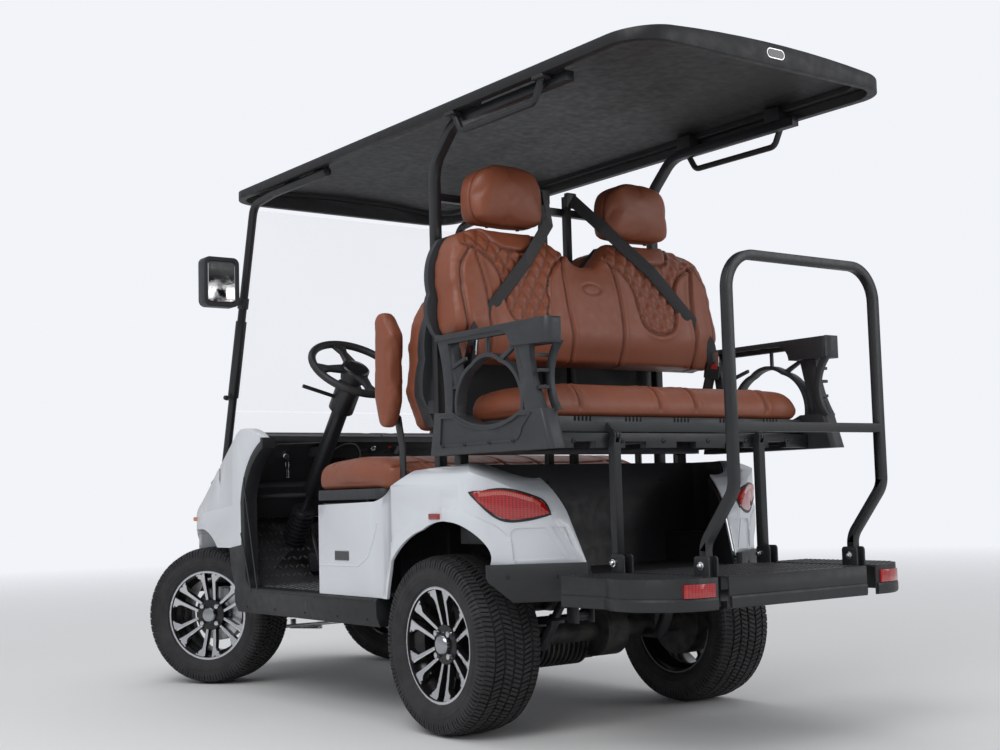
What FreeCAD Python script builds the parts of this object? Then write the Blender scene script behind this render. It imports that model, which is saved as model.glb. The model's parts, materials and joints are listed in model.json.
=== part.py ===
import FreeCAD, Part
import math
import os

# Golf cart with two forward and two rearward seats.
# Millimetres. +Z up, the front faces -Y, +X is the driver's side.
# The origin is on the ground, in the middle of the bounding box.

# Running gear
REAR_AXLE_Y = 550
WHEELBASE = 1762
TYRE_R = 265
TYRE_W = 215
RIM_W = 176
RIM_R = 174
REAR_WHEEL_X = 475
KINGPIN_X = 376
SCRUB = 99
STEER_REST = 33
STEER_ARM = 120
AXLE_R = 20
AXLE_TUBE_R = 34
STUB_R = 18
BORE_GAP = 0.05
PIN_R = 6

# Frame and floor
RAIL_X = 150
RAIL_W = 50
RAIL_Z = 302
RAIL_H = 70
RAIL_FRONT = -1530
RAIL_REAR = 1050
KICK_Z = 394
TOWER_Z = (560, 590)
UPPER_Z = (644, 684)
PAN_T = 8
MAT_T = 8
TOE_FOOT = (-742, 372)
TOE_HEAD = (-911, 640)
TOE_TOP = 636
FLOOR_HALF = 505
SILL_X = 568
SILL_Z = (297, 389)
SILL_Y = (-790, 215)

# Body shell
WALL = 6
COWL_HALF = 560
NOSE_Y = -1660
SIDE_Y = -158
SIDE_X = 560
SKIRT_Z = 389.5
DASH_FRONT = -1010
WING_X = 600
WING_TOP = 797
WELL_X = 300
WHEEL_SHELF_Z = 560
WING_CORNER = ((530, 794), (WELL_X, 940))
TAIL_LAMP = (478, 822, 690)
LIP_W = 36
LIP_OUT = 4

# Roof and posts
ROOF_HALF = 514
ROOF_FRONT = -922
ROOF_REAR = 1459
ROOF_Z = 1868
ROOF_RIM = 44
ROOF_CROWN = 30
ROOF_T = 6
ROOF_STEP = 14
POST_X = 460
POST_Y = 440
POST_W = 28
BELT_POST_X = 52
BELT_POST_Y = (455, 477)
SCREEN_POST_X = 480
SCREEN_FOOT = (-1050, 806)
SCREEN_TOP = (-768, 1837)
SCREEN_POST_D = 32
SCREEN_T = 5
SCREEN_SEAM = 1058
SLEEVE_Z = (1110, 1400)
CLAMP_Z = (1448, 1488)

# Front seat
LID_HINGE = (-168, 696)
LID_Z = 700
LEDGE_Z = 684
HINGE_X = (-330, 330)
FRONT_SEAT_WAIST = 490
FRONT_SEAT_TOP = 826
FRONT_BASE_T = 34
FRONT_SEAT_Y = (-228, 300)
FRONT_SEAT_HALF = 542
FRONT_BACK_Z = (900, 1345)
FRONT_BACK_Y = (326, 400)
FRONT_SHELL_Y = (384, 424)
ARMREST_X = (505, 562)
ARMREST_PIVOT = (262, 948)
ARMREST_PIN_R = 8

# Rear seat
FLIP_HINGE = (1068, 862)
DECK_Z = (872, 915)
DECK_Y = (640, 1036)
DECK_HALF = 525
REAR_SEAT_TOP = 1003
BEAM_Z = (826, 868)
BEAM_Y = (560, 1049)
BEAM_HALF = 533
REAR_BACK_Z = (1085, 1497)
REAR_BACK_Y = (575, 510)
REAR_SHELL_Y = (553, 488)
REAR_ARM_X = (533, 590)
REAR_ARM_TOP = 1174
STRUT_X = 292
STRUT_Y = 1062
STRUT_W = 25

# Footrest and grab bar
STEP_Y = (1050, 1466)
STEP_Z = (396, 478)
STEP_HALF = 490
STEP_REAR_HALF = 430
STEP_GAP = 40
GRAB_Y = 1517
GRAB_W = 25
GRAB_TOP = 1323
GRAB_RAIL = 873
GRAB_FOOT_Y = 1406
GRAB_BEND = 95

# Steering column
WHEEL_CENTRE = (290, -350, 1174)
COLUMN_TILT = 51.5
COLUMN_REACH = 874
STEERING_WHEEL_R = 179
STEERING_GRIP_R = 14

COLUMN_AXIS = (0, math.cos(math.radians(COLUMN_TILT)), math.sin(math.radians(COLUMN_TILT)))
SHIFT_Y = -(NOSE_Y + GRAB_Y + GRAB_W / 2) / 2
FRONT_AXLE_Y = REAR_AXLE_Y - WHEELBASE
RAIL_TOP = RAIL_Z + RAIL_H
MAT_Z = RAIL_TOP + PAN_T


def vec(x, y, z):
    return FreeCAD.Vector(x, y, z)


def closed_wire(points, place):
    """Closed wire. A point of two values ends a line, one of four ends an arc through its first two."""
    edges = []
    here = place(*points[0][-2:])
    for point in points[1:] + points[:1]:
        there = place(*point[-2:])
        if len(point) == 4:
            edges.append(Part.Arc(here, place(*point[:2]), there).toShape())
        elif here.distanceToPoint(there) > 1e-6:
            edges.append(Part.makeLine(here, there))
        here = there
    return Part.Wire(edges)


def prism(points, axis, low, high):
    """Flat outline square to an axis, pushed from one station on that axis to another."""
    places = {
        "x": lambda a, b: vec(low, a, b),
        "y": lambda a, b: vec(a, low, b),
        "z": lambda a, b: vec(a, b, low),
    }
    push = high - low
    pushes = {"x": vec(push, 0, 0), "y": vec(0, push, 0), "z": vec(0, 0, push)}
    return Part.Face(closed_wire(points, places[axis])).extrude(pushes[axis])


def reversed_plan(points):
    """The same half plan on the other side, walked back, with arcs kept."""
    back = []
    mids = [point[:2] if len(point) == 4 else None for point in points] + [None]
    for index in range(len(points) - 1, -1, -1):
        end = (-points[index][-2], points[index][-1])
        middle = mids[index + 1]
        back.append((-middle[0], middle[1]) + end if middle else end)
    return back


def run_of(edge):
    """Axis that a straight edge runs along, or nothing."""
    if not isinstance(edge.Curve, Part.Line):
        return ""
    step = edge.Vertexes[-1].Point - edge.Vertexes[0].Point
    for name, part in zip("xyz", step):
        if abs(part) > 0.999 * step.Length:
            return name
    return ""


def rounded(solid, radius, test):
    """Solid with a fillet on each edge that the test picks by its middle."""
    picked = [edge for edge in solid.Edges if test(edge, edge.CenterOfMass)]
    return solid.makeFillet(radius, picked)


def block(xs, ys, zs, radius=0, along="xyz"):
    """Box between stations, its edges along the named axes rounded."""
    size = [high - low for low, high in (xs, ys, zs)]
    solid = Part.makeBox(*size, vec(xs[0], ys[0], zs[0]))
    if radius:
        solid = rounded(solid, radius, lambda edge, middle: run_of(edge) in along)
    return solid


def round_rect(xs, ys, low_r, high_r):
    """Rectangle outline with round corners, by one radius at its low side and another at its high side."""
    (left, right), (low, high) = xs, ys
    share = 1 - math.sqrt(0.5)
    a, b = low_r * share, high_r * share
    return [(left + low_r, low), (right - low_r, low), (right - a, low + a, right, low + low_r),
            (right, high - high_r), (right - b, high - b, right - high_r, high), (left + high_r, high),
            (left + b, high - b, left, high - high_r), (left, low + low_r),
            (left + a, low + a, left + low_r, low)]


def pillow(xs, ys, zs, radius, crown):
    """Box with round corners in all three views, those at the top of its front view by a larger radius."""
    front = prism(round_rect(xs, zs, radius, crown), "y", *ys)
    return block(xs, ys, zs, radius, "x").common(front).common(block(xs, ys, zs, radius, "z"))


def rod(start, end, radius):
    """Round bar between two points."""
    start, end = vec(*start), vec(*end)
    return Part.makeCylinder(radius, (end - start).Length, start, end - start)


def bent_path(points, bends):
    """Straight runs joined by arcs of the given radii."""
    points = [vec(*point) for point in points]
    edges = []
    here = points[0]
    for before, corner, after, bend in zip(points, points[1:], points[2:], bends):
        back = (before - corner).normalize()
        ahead = (after - corner).normalize()
        half = back.getAngle(ahead) / 2
        setback = bend / math.tan(half)
        middle = corner + (back + ahead).normalize() * (bend / math.sin(half) - bend)
        start, end = corner + back * setback, corner + ahead * setback
        edges.append(Part.makeLine(here, start))
        edges.append(Part.Arc(start, middle, end).toShape())
        here = end
    edges.append(Part.makeLine(here, points[-1]))
    return Part.Wire(edges)


def round_tube(points, bends, diameter):
    """Round tube along a bent path."""
    path = bent_path(points, bends)
    start = vec(*points[0])
    ring = Part.Wire([Part.makeCircle(diameter / 2, start, vec(*points[1]) - start)])
    return path.makePipeShell([ring], True, False)


def flat_bar(points, bends, width, depth, side):
    """Bar of rectangular section along a bent path. The width lies along the side direction."""
    path = bent_path(points, bends)
    start = vec(*points[0])
    ahead = (vec(*points[1]) - start).normalize()
    across = vec(*side).normalize()
    up = ahead.cross(across)
    corners = [start + across * (a * width / 2) + up * (b * depth / 2)
               for a, b in ((-1, -1), (1, -1), (1, 1), (-1, 1), (-1, -1))]
    return path.makePipeShell([Part.makePolygon(corners)], True, False)


def flip(shape):
    """The same shape on the passenger's side."""
    return shape.mirror(vec(0, 0, 0), vec(1, 0, 0))


def both(shape):
    return [shape, flip(shape)]


def fuse(shapes):
    return shapes[0].multiFuse(shapes[1:]).removeSplitter()


def cut(solid, tools):
    for tool in tools:
        solid = solid.cut(tool)
    return solid


def largest(shape):
    """The biggest solid of a shape."""
    return max(shape.Solids, key=lambda solid: solid.Volume)


def moved(shape, x, y, z):
    copy = shape.copy()
    copy.translate(vec(x, y, z))
    return copy


def turned(shape, centre, axis, angle):
    copy = shape.copy()
    copy.rotate(vec(*centre), vec(*axis), angle)
    return copy


def revolved(points):
    """Outline in (radius, station on X) turned about the X axis."""
    face = Part.Face(closed_wire(points, lambda r, x: vec(x, 0, r)))
    return face.revolve(vec(0, 0, 0), vec(1, 0, 0), 360)


# Wheels, built round the origin with the outer face towards +X

def tyre():
    bead, half, lip = RIM_R - 4, TYRE_W / 2, RIM_W / 2 - 8.5
    points = [
        (bead, -lip), (RIM_R + 0.5, -lip),
        (215, -half, TYRE_R - 13, -half + 9),
        (TYRE_R - 5, -half + 14, TYRE_R - 2.5, -half + 24),
        (TYRE_R, 0, TYRE_R - 2.5, half - 24),
        (TYRE_R - 5, half - 14, TYRE_R - 13, half - 9),
        (215, half, RIM_R + 0.5, lip), (bead, lip),
    ]
    return revolved(points)


SPOKE_PAIRS = 6
SPOKE_W = 13
SPOKE_GAP = 10
HUB_R = 58
LUG_CIRCLE_R = 46


def rim(bore_r):
    """Alloy wheel: a dropped-centre barrel, forked twin spokes and a hub with a capped bore."""
    half = RIM_W / 2
    barrel = revolved([
        (RIM_R, half), (RIM_R, half - 8), (RIM_R - 4.3, half - 8), (RIM_R - 5, half - 28),
        (RIM_R - 24, half - 46), (RIM_R - 24, -half + 52), (RIM_R - 5, -half + 30),
        (RIM_R - 4.3, -half + 8), (RIM_R, -half + 8), (RIM_R, -half),
        (RIM_R - 9, -half), (RIM_R - 13, -half + 32), (RIM_R - 31, -half + 56),
        (RIM_R - 31, half - 50), (RIM_R - 14, half - 28), (RIM_R - 10, half),
    ])
    dish = revolved([(HUB_R - 14, 30), (HUB_R - 14, 55), (104, 67), (RIM_R - 8, half - 7),
                     (RIM_R - 8, half - 24), (104, 42)])
    fork = [(SPOKE_GAP, 38), (SPOKE_GAP + SPOKE_W - 4, 38), (SPOKE_GAP + SPOKE_W + 7, 128), (64, 156),
            (64, RIM_R), (SPOKE_GAP + 5, RIM_R), (SPOKE_GAP + 6, 128)]
    blade = Part.Face(closed_wire(fork, lambda y, z: vec(0, y, z))).extrude(vec(half, 0, 0))
    other = blade.mirror(vec(0, 0, 0), vec(0, 1, 0))
    blades = []
    for pair in range(SPOKE_PAIRS):
        angle = 360 / SPOKE_PAIRS * pair
        blades += [turned(piece, (0, 0, 0), (1, 0, 0), angle) for piece in (blade, other)]
    spokes = dish.common(Part.makeCompound(blades))
    hub = revolved([(bore_r, 44), (bore_r, 10), (HUB_R + 4, 10), (HUB_R + 4, 44), (HUB_R, 60),
                    (0, 60), (0, 44)])
    cap = revolved([(0, 59), (30, 59), (30, 73), (25, 79), (0, 79)])
    lug = Part.makeCylinder(8.5, 16, vec(58, 0, LUG_CIRCLE_R), vec(1, 0, 0))
    lugs = [turned(lug, (0, 0, 0), (1, 0, 0), 45 + 90 * turn) for turn in range(4)]
    return fuse([barrel, hub, cap] + spokes.Solids + lugs)


def wheel_place(shape, side, front):
    """A wheel's piece at its place, with the front pair steered."""
    if side < 0:
        shape = flip(shape)
    if not front:
        return moved(shape, side * REAR_WHEEL_X, REAR_AXLE_Y, TYRE_R)
    shape = moved(shape, side * (KINGPIN_X + SCRUB), FRONT_AXLE_Y, TYRE_R)
    return turned(shape, (side * KINGPIN_X, FRONT_AXLE_Y, 0), (0, 0, 1), STEER_REST)


# Steering: the kingpin housings, knuckles, pitman arm and centre link

ARM_TOP = 264
STEER_ARM_Z = (204, 214)
LINK_Z = (190, 202)
PITMAN_Z = (176, 188)
HOUSING_Z = (226, 304)
KINGPIN_R = 10
PITMAN_X = 100
DRUM_R = 104


def knuckle(side):
    """Clevis round the kingpin housing, with stub axle and steering arm, wheels straight ahead."""
    top = block((-22, 44), (-22, 22), (HOUSING_Z[1] + 1, HOUSING_Z[1] + 13), 10, "z")
    bottom = block((-22, 44), (-22, 22), (HOUSING_Z[0] - 12, HOUSING_Z[0] - 1), 10, "z")
    web = block((28, 44), (-22, 22), (HOUSING_Z[0] - 12, HOUSING_Z[1] + 13))
    pin = rod((0, 0, HOUSING_Z[0] - 6), (0, 0, HOUSING_Z[1] + 6), KINGPIN_R - BORE_GAP)
    stub = rod((40, 0, TYRE_R), (SCRUB + 30, 0, TYRE_R), STUB_R)
    hub = rod((44, 0, TYRE_R), (SCRUB + 4, 0, TYRE_R), 46)
    drum = rod((50, 0, TYRE_R), (SCRUB - 2, 0, TYRE_R), DRUM_R)
    arm = block((-14, 14), (-14, STEER_ARM + 14), (STEER_ARM_Z[0], HOUSING_Z[0] - 12), 12, "z")
    eye = rod((0, STEER_ARM, LINK_Z[0] - 1), (0, STEER_ARM, STEER_ARM_Z[1]), PIN_R)
    shape = fuse([top, bottom, web, pin, stub, hub, drum, arm, eye])
    if side < 0:
        shape = flip(shape)
    shape = moved(shape, side * KINGPIN_X, FRONT_AXLE_Y, 0)
    return turned(shape, (side * KINGPIN_X, FRONT_AXLE_Y, 0), (0, 0, 1), STEER_REST)


def pitman_arm():
    shaft = rod((0, 0, PITMAN_Z[0]), (0, 0, STEER_ARM_Z[1]), 12)
    arm = block((-13, 13), (-16, STEER_ARM + 13), PITMAN_Z, 12, "z")
    pin = rod((0, STEER_ARM, PITMAN_Z[0]), (0, STEER_ARM, LINK_Z[1] + 1), PIN_R)
    shape = moved(fuse([shaft, arm, pin]), PITMAN_X, FRONT_AXLE_Y, 0)
    return turned(shape, (PITMAN_X, FRONT_AXLE_Y, 0), (0, 0, 1), STEER_REST)


def centre_link():
    """Bar between the two steering arms, carried sideways by the steered arms."""
    bar = block((-KINGPIN_X - 14, KINGPIN_X + 14), (-11, 11), LINK_Z, 10.5, "z")
    holes = [rod((x, 0, LINK_Z[0] - 1), (x, 0, LINK_Z[1] + 1), radius)
             for x, radius in ((KINGPIN_X, PIN_R + BORE_GAP), (PITMAN_X, PIN_R + 0.5),
                               (-KINGPIN_X, PIN_R + 0.5))]
    angle = math.radians(STEER_REST)
    reach = (-STEER_ARM * math.sin(angle), STEER_ARM * math.cos(angle))
    return moved(cut(bar, holes), reach[0], FRONT_AXLE_Y + reach[1], 0)


def front_suspension():
    """Cross tubes, control arms with kingpin housings, struts and the steering box."""
    y = FRONT_AXLE_Y
    solids = [block((-200, 200), (y + a, y + a + 40), (240, RAIL_Z)) for a in (-70, 30)]
    box = block((PITMAN_X - 32, PITMAN_X + 24), (y - 30, y + 30), (222, RAIL_Z), 8, "z")
    solids.append(cut(box, [rod((PITMAN_X, y, 200), (PITMAN_X, y, 240), 12.5)]))
    inner, outer = 200, KINGPIN_X - 12
    arm_outline = [(inner, y - 70), (inner, y + 70), (outer, y + 16), (outer, y - 16)]
    web_outline = [(inner + 14, y - 42), (inner + 14, y + 42), (outer - 64, y + 15), (outer - 64, y - 15)]
    arm = prism(arm_outline, "z", ARM_TOP - 18, ARM_TOP).cut(prism(web_outline, "z", 200, 300))
    housing = rod((KINGPIN_X, y, HOUSING_Z[0]), (KINGPIN_X, y, HOUSING_Z[1]), 20)
    bore = rod((KINGPIN_X, y, 200), (KINGPIN_X, y, 400), KINGPIN_R)
    foot, head = vec(KINGPIN_X - 42, y, ARM_TOP), vec(KINGPIN_X - 76, y, TOWER_Z[0])
    lean = (head - foot).normalize()
    damper = rod(foot - lean * 30, head + lean * 30, 16)
    damper = damper.common(block((0, 500), (y - 50, y + 50), (ARM_TOP - 2, TOWER_Z[0] - 0.3)))
    coil = Part.makeCylinder(30, 150, foot + lean * 124, lean)
    solids[0] = fuse(solids[:2] + both(fuse([arm, housing, damper, coil]).cut(bore)))
    return [solids[0], solids[2]]


# Floor and toe board

TOE_RISE = math.hypot(TOE_HEAD[0] - TOE_FOOT[0], TOE_HEAD[1] - TOE_FOOT[1])
TOE_NORMAL = vec(0, (TOE_HEAD[1] - TOE_FOOT[1]) / TOE_RISE, (TOE_FOOT[0] - TOE_HEAD[0]) / TOE_RISE)


def toe_line(offset):
    """Foot and head of the toe board's front face in side view, moved towards the cabin by an offset."""
    return [(y + offset * TOE_NORMAL.y, z + offset * TOE_NORMAL.z) for y, z in (TOE_FOOT, TOE_HEAD)]


def toe_sheet(low, thickness, offset):
    """Floor sheet with the toe board, from a height, and lying off the toe board's front face."""
    near, far = toe_line(offset), toe_line(offset + thickness)
    slope = (TOE_HEAD[0] - TOE_FOOT[0]) / (TOE_HEAD[1] - TOE_FOOT[1])

    def at(line, z):
        return (line[0][0] + (z - line[0][1]) * slope, z)
    return [(SIDE_Y - 4.3, low), at(near, low), at(near, TOE_TOP), at(far, TOE_TOP),
            at(far, low + thickness),
            (SIDE_Y - 4.3, low + thickness)]


def toe_board(behind, grow):
    """Pan and mat of the toe board as one solid, thicker at its hidden and its cabin face."""
    foot, head = toe_line(-behind), toe_line(PAN_T + MAT_T + grow)
    return prism([foot[0], foot[1], head[1], head[0]], "x", -FLOOR_HALF, FLOOR_HALF).cut(shaft_hole(13))


def shaft_hole(radius):
    """Clear way of the steering shaft through the toe board."""
    wheel, ahead = vec(*WHEEL_CENTRE), vec(*COLUMN_AXIS)
    return rod(wheel - ahead * 560, wheel - ahead * (COLUMN_REACH + 60), radius)


def floor_pan():
    """Floor sheet that turns up into the toe board."""
    return prism(toe_sheet(RAIL_TOP, PAN_T, 0), "x", -FLOOR_HALF, FLOOR_HALF).cut(shaft_hole(20))


def floor_mat():
    """Rubber mat on the floor and toe board, in one piece."""
    sheet = prism(toe_sheet(MAT_Z + 0.2, MAT_T, PAN_T + 0.2), "x", -FLOOR_HALF + 5, FLOOR_HALF - 5)
    return sheet.cut(shaft_hole(20))


def door_surrounds():
    """Black mouldings in one piece: a curved trim round the door's front edge and the sill."""
    low, high = SILL_Z
    section = [(FLOOR_HALF + 0.3, low), (FLOOR_HALF + 0.3, high), (SILL_X - 14, high),
               (SILL_X - 4, high - 4, SILL_X, high - 14), (SILL_X - 2, low + 34), (SILL_X - 16, low)]
    sill = prism(section, "y", *SILL_Y)
    front = SILL_Y[0]
    outline = [(-574.6, 920), (-689.6, 830, -741.6, 700), (-737.6, 544.6), (-838, 531.6),
               (front - 36, 460),
               (front, high - 10), (-640, high - 10), (-640, high), (-690, 403, -705, 452), (-712, 700),
               (-664, 812, -556, 896), (-556, 934), (-574.6, 934)]
    trim = prism(outline, "x", 512, COWL_HALF + 4)
    return both(fuse([sill, trim]))


def battery_pack():
    return block((-270, 270), (-110, 190), (RAIL_TOP, 640), 12, "z")


def pedals():
    """Accelerator and brake on arms from the toe board."""
    parts = []
    cutter = toe_board(200, 0.3)
    for x, width in ((150, 50), (232, 80)):
        arm = block((x - 6, x + 6), (-905, -806), (584, 606))
        lever = rod((x, -812, 595), (x, -752, 470), 7)
        pad = turned(block((x - width / 2, x + width / 2), (-760, -748), (425, 500), 8, "y"),
                     (x, -754, 468), (1, 0, 0), 22)
        parts.append(fuse([arm, lever, pad]).cut(cutter))
    return parts


# Steering column and wheel

def steering_column():
    """Column tube with its pod and stalk, a boot on the toe board and the jointed shaft below."""
    wheel = vec(*WHEEL_CENTRE)
    ahead = vec(*COLUMN_AXIS)
    tube = rod(wheel - ahead * 90, wheel - ahead * 560, 30)
    pod = rod(wheel - ahead * 74, wheel - ahead * 178, 47)
    first = wheel - ahead * COLUMN_REACH
    second = vec(PITMAN_X, FRONT_AXLE_Y + 122, 405)
    shaft = rod(wheel - ahead * 555, first, 12)
    links = [rod(first, second, 10), rod(second, (PITMAN_X, FRONT_AXLE_Y + 4, RAIL_Z - 2), 10)]
    box_top = block((0, 200), (FRONT_AXLE_Y - 60, FRONT_AXLE_Y + 60), (200, RAIL_Z + 0.3))
    joints = [Part.makeSphere(19, first), Part.makeSphere(17, second)]
    stalk = rod(wheel - ahead * 130 + vec(20, 0, 0), wheel - ahead * 96 + vec(176, -14, 14), 7)
    top = wheel - ahead * (COLUMN_REACH - 230)
    folds = [Part.makeCylinder(47, 9, top - ahead * (10 + 18 * step), -ahead) for step in range(9)]
    boot = fuse([rod(top, top - ahead * 190, 39)] + folds).cut(toe_board(200, 0.4))
    grip = block((wheel.x - 24, wheel.x + 24), (-760, -580), (868, 902))
    bore = rod(wheel, wheel - ahead * 140, 12)
    body = fuse([tube, pod, shaft, stalk, grip] + links + joints + boot.Solids)
    return largest(cut(body, [bore, toe_board(0.3, 0.3), box_top, dash_body(0.3)]))


def steering_wheel():
    """Rim, three flat spokes, hub and the shaft that runs in the column."""
    grip = Part.makeTorus(STEERING_WHEEL_R - STEERING_GRIP_R, STEERING_GRIP_R)
    hub = Part.makeCone(42, 52, 36, vec(0, 0, -50))
    cap = Part.makeCylinder(52, 16, vec(0, 0, -14))
    spokes = []
    for angle in (0, 90, 270):
        outline = [(30, -26), (110, -14), (STEERING_WHEEL_R - 16, -30),
                   (STEERING_WHEEL_R - 16, 30), (110, 14), (30, 26)]
        spoke = prism(outline, "z", -9, 3)
        spokes.append(turned(spoke, (0, 0, 0), (0, 0, 1), angle))
    shaft = Part.makeCylinder(11.95, 90, vec(0, 0, -138))
    shape = fuse([grip, hub, cap, shaft] + spokes)
    shape.rotate(vec(0, 0, 0), vec(1, 0, 0), COLUMN_TILT - 90)
    return moved(shape, *WHEEL_CENTRE)


# Rear axle and springs

MOTOR_Y = 462
MOTOR_X = (-30, 190)
SPRING_X = 300
SPRING_EYE_Y = (200, 900)
SPRING_EYE_Z = 352
SADDLE_Z = 303
LEAF_T = 8


def rear_axle():
    """Axle tube with gear housing, brake drums, the wheels' shafts and the finned motor."""
    y, z = REAR_AXLE_Y, TYRE_R
    tube = rod((-398, y, z), (398, y, z), AXLE_TUBE_R)
    gears = rod((-120, y, z), (-34, y, z), 84)
    drums = [rod((side * 398, y, z), (side * (REAR_WHEEL_X + 4), y, z), 108) for side in (-1, 1)]
    shafts = [rod((side * 398, y, z), (side * (REAR_WHEEL_X + 40), y, z), AXLE_R) for side in (-1, 1)]
    motor = rod((MOTOR_X[0] - 60, MOTOR_Y, 232), (MOTOR_X[1], MOTOR_Y, 232), 66)
    fins = [rod((x, MOTOR_Y, 232), (x + 8, MOTOR_Y, 232), 80)
            for x in range(MOTOR_X[0], MOTOR_X[1], 20)]
    saddles = [block((side * SPRING_X - 32, side * SPRING_X + 32), (y - 45, y + 45), (z, SADDLE_Z))
               for side in (-1, 1)]
    return fuse([tube, gears, motor] + drums + shafts + fins + saddles)


def rear_suspension():
    """Three leaves clamped on the axle, with an eye at each end of the longest, and the dampers."""
    leaves = []
    centre = (SPRING_EYE_Y[0] + SPRING_EYE_Y[1]) / 2
    longest = (SPRING_EYE_Y[1] - SPRING_EYE_Y[0]) / 2
    for index, share in enumerate((1, 0.7, 0.45)):
        half = longest * share
        low = SADDLE_Z + LEAF_T * (2 - index)
        rise = (SPRING_EYE_Z - LEAF_T - SADDLE_Z - 2 * LEAF_T) * share ** 2
        leaf = [(centre - half, low + rise), (centre, low, centre + half, low + rise),
                (centre + half, low + rise + LEAF_T),
                (centre, low + LEAF_T, centre - half, low + rise + LEAF_T)]
        leaves.append(prism(leaf, "x", SPRING_X - 25, SPRING_X + 25))
    for y in SPRING_EYE_Y:
        leaves.append(rod((SPRING_X - 25, y, SPRING_EYE_Z), (SPRING_X + 25, y, SPRING_EYE_Z), 14))
    lower = rod((245, 640, 240), (235, 700, 330), 20)
    upper = rod((235, 700, 330), (226, 754, 411), 13)
    upper = upper.cut(block((150, 300), (700, 800), (KICK_Z - 0.3, 450)))
    foot = block((232, 258), (REAR_AXLE_Y, 652), (228, 252), 8, "x")
    foot = foot.cut(rod((200, REAR_AXLE_Y, TYRE_R), (300, REAR_AXLE_Y, TYRE_R), AXLE_TUBE_R + 0.3))
    return both(fuse(leaves)) + both(fuse([lower, upper, foot]))


# Frame

def upper_frame():
    """Tubes above the rear wheels that carry the seat backs, roof posts, armrest pivots and rear seat."""
    low, high = UPPER_Z
    parts = [block((-500, 500), ys, UPPER_Z) for ys in ((420, 460), (528, 560), (270, 300))]
    for x in (-480, 450):
        parts.append(block((x, x + 30), (270, 560), UPPER_Z))
    for x in (-165, 135):
        parts.append(block((x, x + 30), (270, 300), (RAIL_TOP, high)))
        parts.append(block((x, x + 30), (528, 560), (KICK_Z + RAIL_H - 5, high)))
    for x in (-470, 440):
        parts.append(block((x, x + 30), (528, 560), (high - 5, BEAM_Z[0] - 0.3)))
    py, pz = ARMREST_PIVOT
    out = ARMREST_X[0] - 2
    plate = prism([(270, low), (300, low), (300, 860), (py + 17, pz), (py, pz + 17, py - 17, pz),
                   (270, 860)],
                  "x", out - 6, out)
    pin = rod((out - 6, py, pz), (out + 40, py, pz), ARMREST_PIN_R)
    return parts + both(plate) + both(pin)


def frame():
    """Rails that rise over the rear axle, cross tubes, hangers, strut towers and the upper tube frame."""
    rise = KICK_Z - RAIL_Z
    side = [
        (RAIL_FRONT, RAIL_Z), (RAIL_FRONT, RAIL_TOP), (195, RAIL_TOP), (260, RAIL_TOP + rise),
        (RAIL_REAR, RAIL_TOP + rise), (RAIL_REAR, KICK_Z), (290, KICK_Z), (225, RAIL_Z),
    ]
    parts = both(prism(side, "x", RAIL_X - RAIL_W / 2, RAIL_X + RAIL_W / 2))
    for y, half in ((RAIL_FRONT, 175), (-700, FLOOR_HALF), (-330, FLOOR_HALF), (150, FLOOR_HALF)):
        parts.append(block((-half, half), (y, y + 40), (RAIL_Z, RAIL_Z + 40)))
    for y, half in ((720, 300), (890, SPRING_X + 31), (RAIL_REAR - 41, 310)):
        parts.append(block((-half, half), (y, y + 40), (KICK_Z, KICK_Z + 40)))
    for x in (-1, 1):
        for y, top in ((SPRING_EYE_Y[0] - 10, RAIL_Z + 40), (SPRING_EYE_Y[1] - 10, KICK_Z + 2)):
            for offset in (-31, 26):
                low = x * SPRING_X + offset
                parts.append(block((low, low + 5), (y - 15, y + 35), (SPRING_EYE_Z - 20, top)))
        tower = [(x * a, z) for a, z in ((175, RAIL_Z + 30), (175, TOWER_Z[1]),
                                         (KINGPIN_X - 40, TOWER_Z[1]),
                                         (KINGPIN_X - 40, TOWER_Z[0]), (250, TOWER_Z[0]), (215, 500),
                                         (215, RAIL_Z + 30))]
        parts.append(prism(tower, "y", FRONT_AXLE_Y - 25, FRONT_AXLE_Y + 25))
    return fuse(parts + upper_frame())


# Front body

def arch_edge(inset):
    """Side view of the front wheel arch and the cowl's rear edge above the door."""
    i = inset
    return [(-1535 - i, 430), (-1482 - i, 545 + i * 0.7, -1350, 596 + i), (-1140, 600 + i),
            (-1020, 583 + i, -953, 532 + i), (-838 - i, 532 + i), (-738 - i, 545 + i), (-742 - i, 700)]


def cowl_outline(inset):
    """Side view of the cowl, drawn inwards by an inset."""
    i = inset
    return [
        (-575 - i, 934 - i), (-650, 967 - i, -745, 972 - i), (-1030 + i * 0.3, 826 - i),
        (-1230, 706 - i * 1.1),
        (-1400, 644 - i), (-1560, 604 - i), (-1638 + i * 0.8, 560 - i * 0.8), (NOSE_Y + i, 480),
        (NOSE_Y + i, 430 + i), (-1560, 395 + i)] + arch_edge(i)


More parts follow.
